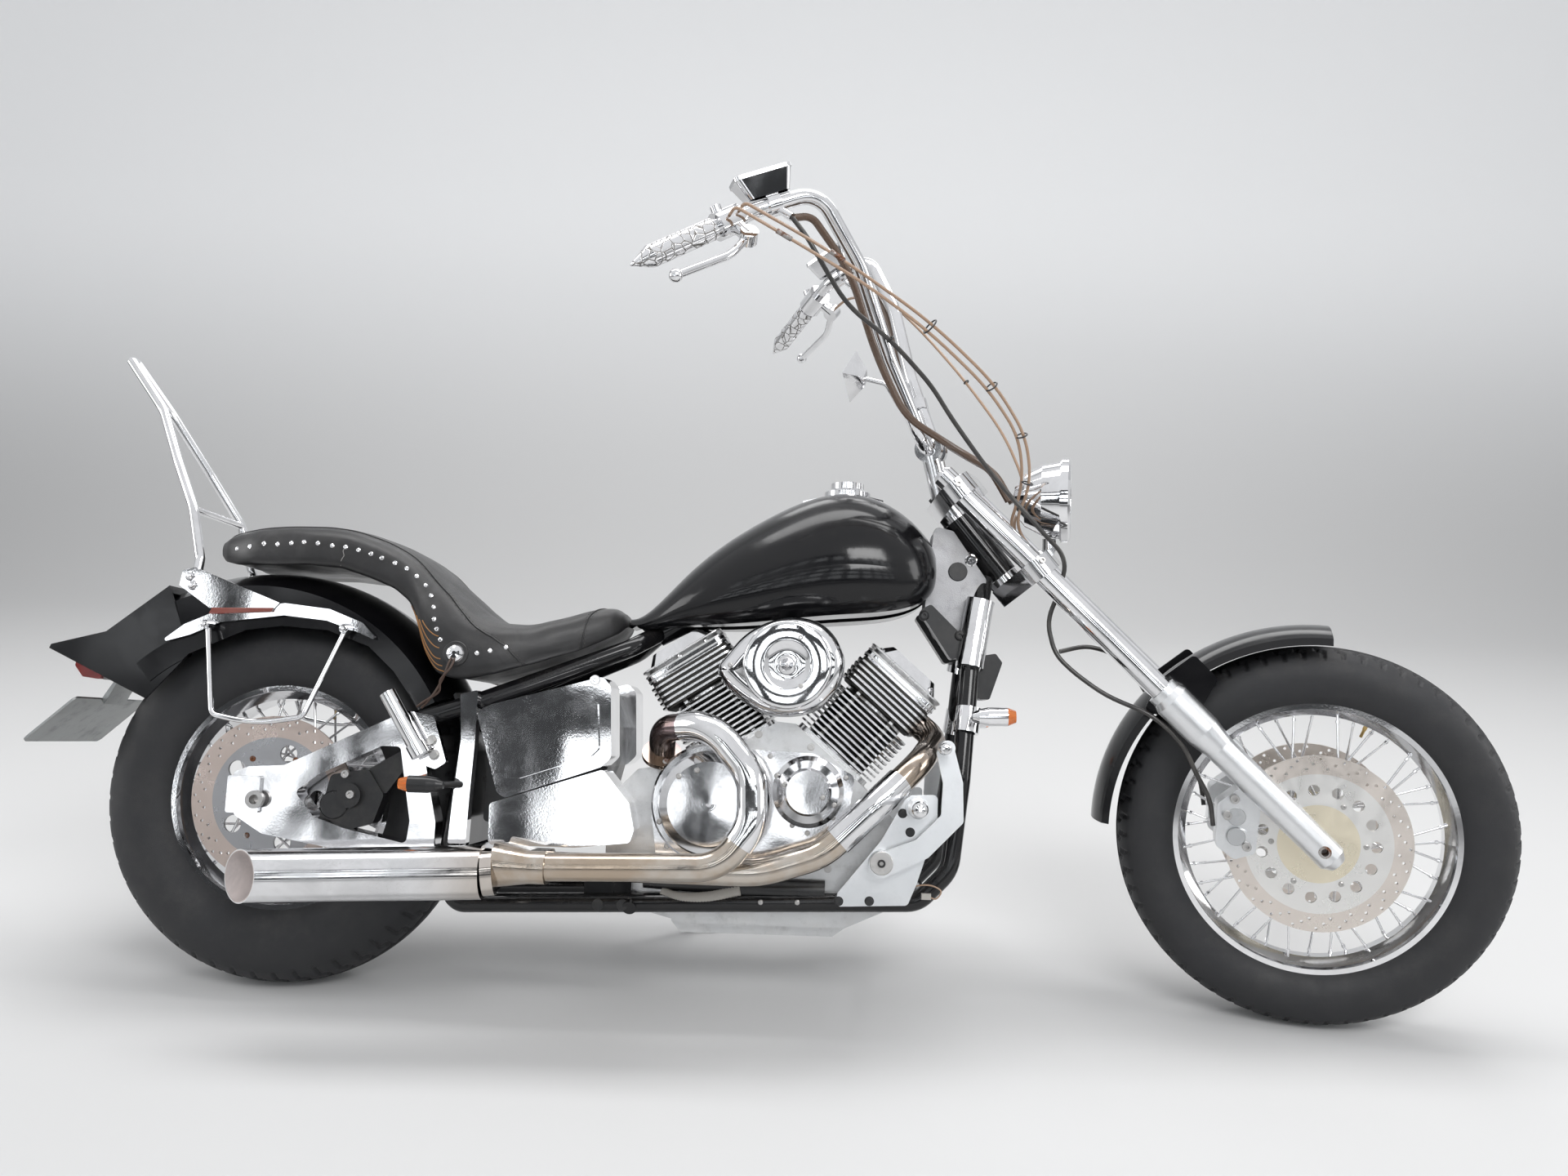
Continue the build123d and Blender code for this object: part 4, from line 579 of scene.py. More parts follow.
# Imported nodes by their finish
FINISHED = {
    "frame_black": "frame_tubes side_stand",
    "cast_grey": "neck_cover carburettors",
    "black_plastic": "coil_cover battery_box breather_canister",
    "chrome": "tube_covers rocker_covers air_cleaner heat_shields tank_console fuel_cap fender_trims "
              "luggage_guards sissy_bar side_covers lower_cover passenger_pegs fork_tubes handlebar "
              "controls mirror_housing headlight_shell front_rim rear_rim",
    "case_alloy": "crankcase",
    "fins_front": "cylinder_front",
    "fins_rear": "cylinder_rear",
    "polished_alloy": "engine_covers swingarm final_drive triple_clamps",
    "header_steel": "exhaust_headers",
    "muffler_chrome": "muffler",
    "gloss_black": "fuel_tank rear_fender front_fender",
    "seat_leather": "seat",
    "plate_grey": "plate_bracket",
    "red_lens": "tail_lamp",
    "bare_steel": "rear_axle",
    "satin_black": "rear_caliper",
    "signal_bodies": "signals",
    "orange_lens": "signal_lenses",
    "bright_alloy": "forward_controls foot_levers fork_sliders front_calipers",
    "rusty_steel": "front_axle",
    "engraved_chrome": "grips",
    "mirror": "mirror_glass",
    "clear_lens": "headlight_lens",
    "tan_cable": "control_cables",
    "black_hose": "brake_hoses",
    "brown_hose": "wiring_loom",
    "tyre_rubber": "front_tyre rear_tyre",
    "front_disc": "front_discs",
    "rear_disc": "rear_disc",
}


class MOTO_OT_finishes(bpy.types.Operator):
    """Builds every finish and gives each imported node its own"""
    bl_idname = "moto.finishes"
    bl_label = "Finishes"

    def execute(self, context):
        settings = context.scene.moto_finishes
        finish = Colours(*(tuple(getattr(settings, name)) for name in Colours._fields))
        dust, rust = finish.dust, finish.rust
        make_groups()
        make_paint("gloss_black", finish.paint, dust)
        make_paint("frame_black", (0.007, 0.007, 0.008), dust, roughness=0.12, coat=0.2, amount=0.06)
        make_tyre("tyre_rubber", (0.0125, 0.0128, 0.0145), (0.13, 0.12, 0.11))
        make_leather("seat_leather", finish.leather, dust)
        for name, plain in PLAINS.items():
            make_plain(name, dust, *plain)
        for name, alloy in ALLOYS.items():
            make_alloy(name, dust, *alloy)
        make_plated("chrome", finish.chrome, rust)
        make_plated("mirror", (0.86, 0.87, 0.88), rust, pits=0.0, roughness=0.02, smear_rise=0.02,
                    wave_depth=0.0)
        make_plated("polished_alloy", finish.alloy, rust, pits=0.05, roughness=0.07, smear_rise=0.09,
                    wave_scale=8.0, wave_depth=0.003)
        for side, degrees in CYLINDERS.items():
            make_fins(f"fins_{side}", (0.74, 0.74, 0.74), degrees)
        make_rusty("rusty_steel", (0.42, 0.41, 0.40), rust, cover=0.62)
        make_lens("orange_lens", (0.92, 0.25, 0.03))
        make_lens("red_lens", (0.42, 0.015, 0.012))
        make_lens("clear_lens", (0.93, 0.95, 0.96), alpha=0.35, transmission=0.9)
        make_exhaust("header_steel", finish)
        make_muffler("muffler_chrome", finish)
        make_signal("signal_bodies", finish)
        make_engraved("engraved_chrome", finish.chrome)
        make_disc("front_disc", FRONT_WHEEL, rust, ring_in=0.118, hub_out=0.066,
                  ring_colour=(0.72, 0.66, 0.61), carrier_colour=(0.80, 0.79, 0.77))
        make_disc("rear_disc", REAR_WHEEL, rust, ring_in=0.104, hub_out=0.03,
                  ring_colour=(0.50, 0.42, 0.38), carrier_colour=(0.34, 0.34, 0.35))
        for name, nodes in FINISHED.items():
            for slot in (slot for node in nodes.split() for slot in NODES[node].material_slots):
                slot.material = MATERIALS[name]
        return {"FINISHED"}


# Pieces

def put_in_scene(name, data):
    thing = bpy.data.objects.new(name, data)
    bpy.context.scene.collection.objects.link(thing)
    return thing


def new_piece(name, mesh, material, body, *replaced, smooth=True):
    """Puts a finished mesh in the scene, riding on its body."""
    if smooth:
        mesh.polygons.foreach_set("use_smooth", [True] * len(mesh.polygons))
    mesh.materials.clear()
    mesh.materials.append(MATERIALS[material])
    piece = put_in_scene(name, mesh)
    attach(piece, body)
    if replaced:
        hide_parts(*replaced)
    return piece


def grid_mesh(name, points, closed_across=False, closed_along=False):
    """Quads over rows of points; a row or the whole sheet may close on itself."""
    rows, across = len(points), len(points[0])
    faces = []
    for i in range(rows if closed_along else rows - 1):
        for j in range(across if closed_across else across - 1):
            k, m = (i + 1) % rows, (j + 1) % across
            faces.append((i * across + j, i * across + m, k * across + m, k * across + j))
    mesh = bpy.data.meshes.new(name)
    mesh.from_pydata([tuple(p) for row in points for p in row], [], faces)
    return mesh


def close_up(mesh, ring=0, ends=()):
    """Caps the rows of a grid that start at the given points, and turns every face outward."""
    made = bmesh.new()
    made.from_mesh(mesh)
    made.verts.ensure_lookup_table()
    for first in ends:
        made.faces.new([made.verts[first + j] for j in range(ring)])
    bmesh.ops.recalc_face_normals(made, faces=made.faces)
    made.to_mesh(mesh)
    made.free()
    return mesh


def closed_stack(name, loops):
    """Closed mesh through equal loops, capped at both ends."""
    ring = len(loops[0])
    return close_up(grid_mesh(name, loops, True, False), ring, (0, (len(loops) - 1) * ring))


def turned_piece(name, rings, points):
    """Unit fastener head about Z from rings of height, radius and sides, with 0 sides for a circle."""
    loops = []
    for height, radius, sides in rings:
        loop = []
        for a in (2 * pi * i / points for i in range(points)):
            r = radius
            if sides:
                step = 2 * pi / sides
                r = radius * cos(step / 2) / cos((a % step) - step / 2)
            loop.append((r * cos(a), r * sin(a), height))
        loops.append(loop)
    return closed_stack(name, loops)


HEADS = {
    "stud": [(-0.10, 1.0, 0), (0.06, 1.0, 0), (0.30, 0.86, 0), (0.48, 0.58, 0), (0.56, 0.22, 0)],
    "button": [(-0.2, 1.0, 0), (0.14, 1.0, 0), (0.42, 0.84, 0), (0.56, 0.56, 0), (0.56, 0.42, 6),
               (0.18, 0.40, 6)],
    "socket": [(-0.3, 1.0, 0), (0.92, 1.0, 0), (1.0, 0.92, 0), (1.0, 0.56, 6), (0.40, 0.54, 6)],
    "hex": [(-0.2, 1.35, 0), (0.10, 1.35, 0), (0.12, 1.08, 6), (0.70, 1.08, 6), (0.80, 0.92, 0),
            (0.80, 0.2, 0)],
    "acorn": [(-0.2, 1.3, 0), (0.10, 1.3, 0), (0.12, 1.08, 6), (0.72, 1.08, 6), (0.80, 0.86, 0),
              (1.18, 0.66, 0), (1.40, 0.3, 0)],
    "rivet": [(-0.1, 1.0, 0), (0.12, 1.0, 0), (0.26, 0.8, 0), (0.26, 0.42, 0), (0.12, 0.30, 0)],
    "washer": [(-0.2, 1.0, 0), (0.10, 1.0, 0), (0.16, 0.94, 0), (0.16, 0.3, 0)],
}
Spot = namedtuple("Spot", "point facing radius")
SIDES = {-1: "right", 1: "left"}
SURFACES = {}
TREES = {}


def skin_of(mesh):
    corners = [v.co.copy() for v in mesh.vertices]
    return BVHTree.FromPolygons(corners, [tuple(p.vertices) for p in mesh.polygons])


def met(skin, name, origin, direction):
    """Point where a ray first meets a skin, and the normal that faces the ray."""
    point, normal, _, _ = skin.ray_cast(origin, direction)
    if point is None:
        raise RuntimeError(f"nothing of {name} lies there: {tuple(round(v, 3) for v in origin)}")
    return point, normal if normal.dot(direction) < 0 else -normal


def surface(node, origin, direction):
    """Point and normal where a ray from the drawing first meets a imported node."""
    if node not in SURFACES:
        SURFACES[node] = skin_of(NODES[node].data)
    return met(SURFACES[node], node, origin, direction)


def make_placer():
    """Geometry Nodes tree: sets a piece on every point, turned to its facing and scaled to its radius."""
    tree = bpy.data.node_groups.new("set_on_points", "GeometryNodeTree")
    for label, kind in (("Points", "NodeSocketGeometry"), ("Piece", "NodeSocketObject"),
                        ("Size", "NodeSocketFloat"), ("Finish", "NodeSocketMaterial")):
        tree.interface.new_socket(label, in_out="INPUT", socket_type=kind)
    tree.interface.new_socket("Result", in_out="OUTPUT", socket_type="NodeSocketGeometry")
    make, join = tree.nodes.new, tree.links.new
    given, result = make("NodeGroupInput").outputs, make("NodeGroupOutput").inputs
    facing, radius = make("GeometryNodeInputNamedAttribute"), make("GeometryNodeInputNamedAttribute")
    facing.data_type, radius.data_type = "FLOAT_VECTOR", "FLOAT"
    facing.inputs["Name"].default_value, radius.inputs["Name"].default_value = "facing", "radius"
    lean = make("FunctionNodeAlignRotationToVector")
    lean.axis = "Z"
    join(facing.outputs["Attribute"], lean.inputs["Vector"])
    info = make("GeometryNodeObjectInfo")
    join(given["Piece"], info.inputs["Object"])
    scale = make("ShaderNodeMath")
    scale.operation = "MULTIPLY"
    join(radius.outputs["Attribute"], scale.inputs[0])
    join(given["Size"], scale.inputs[1])
    place = make("GeometryNodeInstanceOnPoints")
    join(given["Points"], place.inputs["Points"])
    join(info.outputs["Geometry"], place.inputs["Instance"])
    join(lean.outputs["Rotation"], place.inputs["Rotation"])
    join(scale.outputs[0], place.inputs["Scale"])
    real, coat = make("GeometryNodeRealizeInstances"), make("GeometryNodeSetMaterial")
    join(place.outputs["Instances"], real.inputs[0])
    join(real.outputs[0], coat.inputs["Geometry"])
    join(given["Finish"], coat.inputs["Material"])
    join(coat.outputs[0], result["Result"])
    return tree


def run_tree(piece, tree, **values):
    """Runs a Geometry Nodes tree on a piece and keeps its result as a plain mesh."""
    modifier = piece.modifiers.new(tree.name, "NODES")
    modifier.node_group = tree
    for socket in tree.interface.items_tree:
        if socket.in_out == "INPUT" and socket.name in values:
            modifier[socket.identifier] = values[socket.name]
    bpy.context.view_layer.update()
    evaluated = piece.evaluated_get(bpy.context.evaluated_depsgraph_get())
    mesh = bpy.data.meshes.new_from_object(evaluated)
    piece.modifiers.clear()
    piece.data = mesh
    return piece


def set_on_points(name, head, spots, material, body, points=20):
    """One mesh of like fasteners, from the points, facings and radii of a table."""
    if "set_on_points" not in TREES:
        TREES["set_on_points"] = make_placer()
    template = put_in_scene("template", turned_piece("template", HEADS[head], points))
    mesh = bpy.data.meshes.new(name)
    mesh.from_pydata([tuple(spot.point) for spot in spots], [], [])
    facing = mesh.attributes.new("facing", "FLOAT_VECTOR", "POINT")
    facing.data.foreach_set("vector", [c for spot in spots for c in spot.facing])
    radius = mesh.attributes.new("radius", "FLOAT", "POINT")
    radius.data.foreach_set("value", [spot.radius for spot in spots])
    piece = put_in_scene(name, mesh)
    run_tree(piece, TREES["set_on_points"], Piece=template, Size=1.0, Finish=MATERIALS[material])
    bpy.data.objects.remove(template)
    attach(piece, body)
    return piece


def tube(name, path, radius, material, body, sides=10, place=None, closed=False):
    """Round wire or piping along points of the row frame, or of a drawing placement when one is given."""
    points = [place @ (Vector(p) * MM) for p in path] if place else [Vector(p) for p in path]
    count = len(points)
    rings, side = [], None
    for i, point in enumerate(points):
        after = points[(i + 1) % count] if closed or i + 1 < count else point
        before = points[i - 1] if closed or i else point
        along = (after - before).normalized()
        side = side or along.orthogonal().normalized()
        side = (side - along * side.dot(along)).normalized()
        up = along.cross(side)
        r = radius[i] if isinstance(radius, list) else radius
        rings.append([point + r * (cos(a) * side + sin(a) * up)
                      for a in (2 * pi * j / sides for j in range(sides))])
    mesh = close_up(grid_mesh(name, rings, True, True)) if closed else closed_stack(name, rings)
    return new_piece(name, mesh, material, body)


# Seat: drawing heights along the machine, in millimetres
SEAT_TOP = [(-140, 772), (-134, 786), (-112, 797), (-45, 808), (20, 811), (71, 811), (125, 804),
            (182, 786), (228, 763), (290, 713), (330, 678), (356, 660), (386, 650), (442, 648),
            (481, 660), (540, 680), (580, 684), (592, 676), (598, 658)]
SEAT_LOW = [(-140, 758), (-128, 742), (-90, 733), (-25, 732), (44, 733), (108, 728), (160, 712),
            (207, 694), (236, 672), (252, 640), (262, 606), (272, 580), (290, 552), (317, 543),
            (346, 542), (393, 553), (450, 572), (523, 600), (570, 624), (590, 636), (598, 650)]
SEAT_HALF = [(-140, 60), (-134, 84), (-110, 98), (-60, 124), (20, 136), (120, 149), (250, 160),
             (330, 166), (400, 160), (440, 145), (520, 103), (570, 82), (590, 64), (598, 40)]
SEAT_SECTION = [(0.925, 0.0), (0.965, 0.045), (0.988, 0.14), (1.0, 0.32), (0.985, 0.52), (0.94, 0.70),
                (0.87, 0.82), (0.77, 0.895), (0.62, 0.945), (0.44, 0.975), (0.24, 0.993), (0.0, 1.0)]
# Seams: place along the machine and share of the way from the hem to the crown
SEAT_SEAM = [(-128, 0.66), (-60, 0.66), (60, 0.66), (180, 0.66), (260, 0.65), (300, 0.62), (330, 0.55),
             (355, 0.48), (385, 0.42), (410, 0.33), (428, 0.20), (441, 0.04)]
NOSE_SEAM = [(526, 0.04), (530, 0.28), (536, 0.48), (546, 0.66), (553, 0.82), (556, 1.0)]
SEAT_STUDS = [(-95, 761), (-66, 764), (-38, 769), (-12, 768), (14, 770), (38, 772), (64, 770), (91, 766),
              (116, 764), (140, 759), (163, 753), (183, 746), (207, 738), (228, 729), (246, 716),
              (262, 701), (273, 683), (280, 663), (284, 642), (290, 625), (298, 607), (362, 586),
              (384, 591), (409, 598)]
CONCHO = (326, 584)
# Quads across, and in millimetres the rows' distance, the seams' steps and the way from hem to crown;
# the underside's points are shares of the half width, and sizes of piping and stitches are in metres
SEAT_STEPS, SEAT_ROW, SEAM_STEP, HEM_TO_CROWN = 56, 6.0, 4, 160
PIPING_RADIUS, PIPING_RISE = 0.0014, 0.0004
STITCH_RADIUS, STITCH_BESIDE = 0.0011, 0.0042
SEAT_UNDER = (0.86, 0.6, 0.3, 0.0, -0.3, -0.6, -0.86)
# Least thickness of the seat, and how far beside the machine the rays that meet it start
SEAT_LEAST_DEPTH, SEAT_BESIDE = 22, 400
# Crown of the fender under the seat: its centre, radius and front end
FENDER_X, FENDER_Z, FENDER_RADIUS, FENDER_FRONT = -40.0, 330.0, 398.0, 262
# Where the rider sits: middle and reach of the dish, and of the folds along and across
DISH_X, DISH_REACH = 430, 120
FOLD_X, FOLD_REACH, FOLD_HALF = 352, 60, 150


def read_off(table, x):
    return float(np.interp(x, [row[0] for row in table], [row[1] for row in table]))


def smooth_read(table, x, reach=14.0):
    """Value of a table, evened out over a short stretch."""
    steps = (-1.0, -0.5, 0.0, 0.5, 1.0)
    low, high = table[0][0], table[-1][0]
    reach = min(reach, abs(x - low) + 0.5, abs(high - x) + 0.5)
    return sum(read_off(table, x + reach * step) for step in steps) / len(steps)


def seat_point(x, across):
    """Seat surface in the drawing: across runs from -1, the right hem, over the crown to 1."""
    top, low, half = smooth_read(SEAT_TOP, x), smooth_read(SEAT_LOW, x, 6.0), smooth_read(SEAT_HALF, x)
    share = 1 - abs(across)
    k = share * (len(SEAT_SECTION) - 1)
    i = min(int(k), len(SEAT_SECTION) - 2)
    t = k - i
    before, after = SEAT_SECTION[i], SEAT_SECTION[i + 1]
    out, up = before[0] + (after[0] - before[0]) * t, before[1] + (after[1] - before[1]) * t
    dish = 0.10 * max(0.0, 1 - abs(x - DISH_X) / DISH_REACH) * max(0.0, 1 - (out / 0.7) ** 2)
    z = low + (top - low) * (up - dish * 0.6)
    return x, (-1 if across < 0 else 1) * half * out, z


def on_seat(skin, x, across):
    """Nearest point of the leather, and its normal, to a point of the seat's drawing."""
    return skin.find_nearest(at(*seat_point(x, across)))[:2]


def seat_side(skin, side, x, z):
    """Point and normal of the leather where a ray from that side meets it."""
    return met(skin, "seat", at(x, side * SEAT_BESIDE, z), towards(0, -side, 0))


class MOTO_OT_seat(bpy.types.Operator):
    """Stepped leather seat with piped, stitched seams and plated studs"""
    bl_idname = "moto.seat"
    bl_label = "Seat"

    def worn(self, depth, x, y, z):
        """Point of the leather, moved by the folds on top and the swell of the sides."""
        fold = sin(x * 0.21 + 0.8 * sin(y * 0.05)) * max(0.0, 1 - abs(x - FOLD_X) / FOLD_REACH)
        fold *= max(0.0, 1 - abs(y) / FOLD_HALF)
        swell = sin(z * 0.12 + x * 0.045) * sin(x * 0.021 + 1.3)
        wave = depth * (0.6 * fold + 0.45 * swell)
        return at(x, y * (1 + wave / 0.16), z + wave * 600)

    def leather(self, depth):
        marks = sorted({round(v, 1) for table in (SEAT_TOP, SEAT_LOW) for v, _ in table})
        stations = []
        for a, b in zip(marks, marks[1:]):
            run = hypot(b - a, 0.7 * (read_off(SEAT_LOW, b) - read_off(SEAT_LOW, a)))
            steps = max(1, round(run / SEAT_ROW))
            stations += [a + (b - a) * i / steps for i in range(steps)]
        rows = []
        for x in stations + marks[-1:]:
            row = [seat_point(x, -1 + 2 * j / SEAT_STEPS) for j in range(SEAT_STEPS + 1)]
            half, hem = -row[0][1], row[0][2] + 2
            fender = FENDER_Z + max(0.0, FENDER_RADIUS ** 2 - (x - FENDER_X) ** 2) ** 0.5 + 3
            highest = row[SEAT_STEPS // 2][2] - SEAT_LEAST_DEPTH
            floor = min(max(hem, fender if x < FENDER_FRONT else 0), highest)
            row += [(x, half * k, max(floor, hem)) for k in SEAT_UNDER]
            rows.append([self.worn(depth, *point) for point in row])
        mesh = closed_stack("seat_leather", rows)
        seat = new_piece("seat_leather", mesh, "seat_leather", "frame", "seat")
        return seat

    def execute(self, context):
        size = context.scene.moto_seat
        seat = self.leather(size.crease_depth)
        skin = skin_of(seat.data)
        studs, stitches = [], []
        for side, hand in SIDES.items():
            for x, z in SEAT_STUDS:
                studs.append(Spot(*seat_side(skin, side, x, z), size.stud_radius))
            for seam in (SEAT_SEAM, NOSE_SEAM):
                line = []
                for (x0, v0), (x1, v1) in zip(seam, seam[1:]):
                    steps = max(2, round(hypot(x1 - x0, HEM_TO_CROWN * (v1 - v0)) / SEAM_STEP))
                    for t in (i / steps for i in range(steps)):
                        x, v = x0 + (x1 - x0) * t, v0 + (v1 - v0) * t
                        line.append(on_seat(skin, x, side * (1 - v)))
                piping = [point + normal * PIPING_RISE for point, normal in line]
                tube(f"seat_piping_{len(seam)}_{hand}", piping, PIPING_RADIUS, "seat_leather", "frame", 8)
                travelled = 0.0
                for (p0, n0), (p1, _) in zip(line, line[1:]):
                    travelled += (p1 - p0).length
                    if travelled > size.stitch_pitch:
                        travelled = 0.0
                        beside = (p1 - p0).normalized().cross(n0)
                        stitches += [Spot(p0 + beside * offset, n0, STITCH_RADIUS)
                                     for offset in (STITCH_BESIDE, -STITCH_BESIDE)]
        set_on_points("seat_studs", "stud", studs, "chrome", "frame")
        set_on_points("seat_stitches", "stud", stitches, "thread", "frame", points=8)
        return {"FINISHED"}


# Wheels: sizes in millimetres
Wheel = namedtuple("Wheel", "end place tyre_width rim_radius rim_width flange_radius flange_offset")
WHEELS = (Wheel("front", FRONT_WHEEL, 110.0, 242.7, 76.0, 46, 34),
          Wheel("rear", REAR_WHEEL, 170.0, 206.0, 126.0, 62, 46))
# Wall thickness, how far the beads lie inside the rim's edge and below it, and mesh steps in one tread pitch
TYRE_WALL, BEAD_IN, BEAD_DEPTH, STEPS_A_PITCH = 9.0, 4, 14, 16
# Tread: places as shares of its half width and of one pitch round the tyre
TREAD_EDGE, WAVE_ROW, SIPE_ROW = 0.8, 0.26, 0.62
OUTER_SIPE, INNER_SIPE = (0.60, 0.99), (0.31, 0.64)
OUTER_TURN, INNER_TURN = 0.30, 0.66


class MOTO_OT_tyres(bpy.types.Operator):
    """Tyres with wavy grooves and shoulder sipes"""
    bl_idname = "moto.tyres"
    bl_label = "Tyres"

    def arc(self, a, b, c, steps):
        """Points on the circle through three points, in radius and width."""
        (ax, ay), (bx, by), (cx, cy) = a, b, c
        d = 2 * (ax * (by - cy) + bx * (cy - ay) + cx * (ay - by))
        aa, bb, cc = (x * x + y * y for x, y in (a, b, c))
        ux = (aa * (by - cy) + bb * (cy - ay) + cc * (ay - by)) / d
        uy = (aa * (cx - bx) + bb * (ax - cx) + cc * (bx - ax)) / d
        start, mid, end = (atan2(p[1] - uy, p[0] - ux) for p in (a, b, c))
        while mid < start:
            mid += 2 * pi
        while end < start:
            end += 2 * pi
        if mid > end:
            end -= 2 * pi
        r = hypot(ax - ux, ay - uy)
        turns = [start + (end - start) * i / steps for i in range(steps + 1)]
        return [(ux + r * cos(t), uy + r * sin(t)) for t in turns]

    def section(self, wheel):
        """Closed outline in radius and width, and where the tread starts and ends in it."""
        radius, half = AXLE_HEIGHT / MM, wheel.tyre_width / 2
        bead, low = wheel.rim_width / 2 - BEAD_IN, wheel.rim_radius - BEAD_DEPTH
        shoulder, middle = radius - 0.15 * wheel.tyre_width, (radius + wheel.rim_radius) / 2
        inner, edge = half - TYRE_WALL, half * TREAD_EDGE
        wall = self.arc((low, -bead), (middle, -half), (shoulder, -edge), 14)[:-1]
        crown = self.arc((shoulder, -edge), (radius, 0), (shoulder, edge), 48)
        lining = [(low, bead - TYRE_WALL), (middle, inner), (shoulder - TYRE_WALL, inner * TREAD_EDGE)]
        outline = wall + crown + [(r, -y) for r, y in reversed(wall)]
        outline += lining + [(radius - TYRE_WALL - 2, 0)] + [(r, -y) for r, y in reversed(lining)]
        return outline, len(wall), len(wall) + len(crown) - 1

    def groove(self, share, phase, pitch, half, wide):
        """Cut of the tread, 0 to 1, at a share of its half width and so many pitches round the tyre."""
        turn, side, near = (phase + (0.5 if share > 0 else 0.0)) % 1.0, abs(share), pitch
        if OUTER_SIPE[0] <= side < OUTER_SIPE[1]:
            near = min(near, pitch * abs(turn - OUTER_TURN - 0.16 * (side - SIPE_ROW)))
        if INNER_SIPE[0] <= side <= INNER_SIPE[1]:
            near = min(near, pitch * abs(turn - INNER_TURN + 0.2 * (SIPE_ROW - side)))
        if OUTER_TURN <= turn <= INNER_TURN:
            near = min(near, half * abs(side - SIPE_ROW))
        sipe = max(0.0, 1 - max(0.0, near - wide * 0.28) / (wide * 0.42))
        wave = abs(side - WAVE_ROW - 0.035 * sin(phase * 2 * pi)) * half
        ring = max(0.0, 1 - max(0.0, wave - wide * 0.25) / (wide * 0.4))
        return min(1.0, max(sipe, ring))

    def tyre(self, wheel, pitches, size):
        outline, first, last = self.section(wheel)
        half, pitch = wheel.tyre_width / 2 * TREAD_EDGE, 2 * pi * AXLE_HEIGHT / MM / pitches
        deep, wide = size.groove_depth / MM, size.groove_width / MM
        rows = []
        for i in range(pitches * STEPS_A_PITCH):
            a = i * 2 * pi / (pitches * STEPS_A_PITCH)
            row = []
            for j, (r, y) in enumerate(outline):
                if first <= j <= last:
                    r -= deep * self.groove(y / half, i / STEPS_A_PITCH, pitch, half, wide)
                row.append(wheel.place @ Vector((r * MM * cos(a), y * MM, r * MM * sin(a))))
            rows.append(row)
        mesh = close_up(grid_mesh(f"{wheel.end}_tyre_tread", rows, True, True))
        piece = new_piece(mesh.name, mesh, "tyre_rubber", f"{wheel.end}_wheel", f"{wheel.end}_tyre")

    def execute(self, context):
        size = context.scene.moto_tyres
        for wheel in WHEELS:
            self.tyre(wheel, getattr(size, f"{wheel.end}_pitches"), size)
        return {"FINISHED"}


# Spokes a side, degrees from a foot round to its head, and how far inner ones lie inside outer ones
SPOKES, LAY, CROSSING = 20, 62, 7
# How deep heads lie in the flange and feet in the rim, and how far feet lie beside the middle
HEAD_DEPTH_IN_FLANGE, FOOT_DEPTH, FOOT_OFFSET = 5, 24, 13
NIPPLE_BACK, NIPPLE_RADIUS = 15, 0.0034
# Valve: degrees round the wheel, and its stem's depths below the rim's edge with the radius there
VALVE_AT = 66.7
VALVE_STEM = ((16, 0.0036), (40, 0.0036), (41, 0.0026), (54, 0.0026))


class MOTO_OT_spoke_nipples(bpy.types.Operator):
    """Nipples of the spokes and the valve of each rim"""
    bl_idname = "moto.spoke_nipples"
    bl_label = "Spoke Nipples"

    def nipple(self, wheel, side, i):
        foot = radians(360 / SPOKES * i + (0 if side > 0 else 180 / SPOKES))
        head = foot + radians(LAY if i % 2 else -LAY)
        inset = CROSSING * (i % 2)
        reach, depth = wheel.flange_radius - HEAD_DEPTH_IN_FLANGE, wheel.rim_radius - FOOT_DEPTH
        a = Vector((reach * cos(head), side * (wheel.flange_offset - inset), reach * sin(head)))
        b = Vector((depth * cos(foot), side * (FOOT_OFFSET - inset), depth * sin(foot)))
        run = (b - a).normalized()
        point = wheel.place @ ((b - run * NIPPLE_BACK) * MM)
        return Spot(point, wheel.place.to_3x3() @ -run, NIPPLE_RADIUS)

    def execute(self, context):
        a = radians(VALVE_AT)
        for wheel in WHEELS:
            body = f"{wheel.end}_wheel"
            spots = [self.nipple(wheel, side, i) for side in (1, -1) for i in range(SPOKES)]
            set_on_points(f"{body}_nipples", "socket", spots, "chrome", body, 12)
            reaches = [wheel.rim_radius - depth for depth, _ in VALVE_STEM]
            stem = [(r * cos(a), 0, r * sin(a)) for r in reaches]
            tube(f"{body}_valve", stem, [r for _, r in VALVE_STEM], "brass", body, 14, wheel.place)
        return {"FINISHED"}


# Engine dress, in millimetres of the drawing
HEAD_TOP, HEAD_WIDTH, HEAD_DEPTH, HEAD_CORNER = 305.0, 158.0, 166.0, 16
HEAD_FINS, FIN_EDGE, FIN_START = 3, 0.8, 3
AIR = (892.0, 581.0)
AIR_OUTLINE = [(776, 562), (834, 508), (892, 495), (949, 511), (982, 556), (984, 606), (950, 651),
               (892, 663), (832, 641), (792, 600)]
# Air cleaner: depth of each loop and how far it is drawn in from the outline
AIR_RIM = [(-129, 5), (-134, 1), (-168, 0), (-180, 3), (-189, 9), (-194, 17), (-196, 27)]
# Air cleaner disc: height over the body's face and radius
AIR_DISC = [(-2, 73), (6, 74), (10, 73), (12, 71), (12.8, 67), (13.4, 42), (12.8, 38), (9, 34), (6, 26),
            (5, 17), (7, 12), (13, 7), (19, 3), (21, 0.4)]


def arc_through(p0, p1, p2, p3, steps):
    """Points of a smooth curve from the second point up to the third."""
    return [0.5 * (2 * p1 + (p2 - p0) * t + (2 * p0 - 5 * p1 + 4 * p2 - p3) * t * t
                   + (3 * p1 - p0 - 3 * p2 + p3) * t * t * t) for t in (j / steps for j in range(steps))]


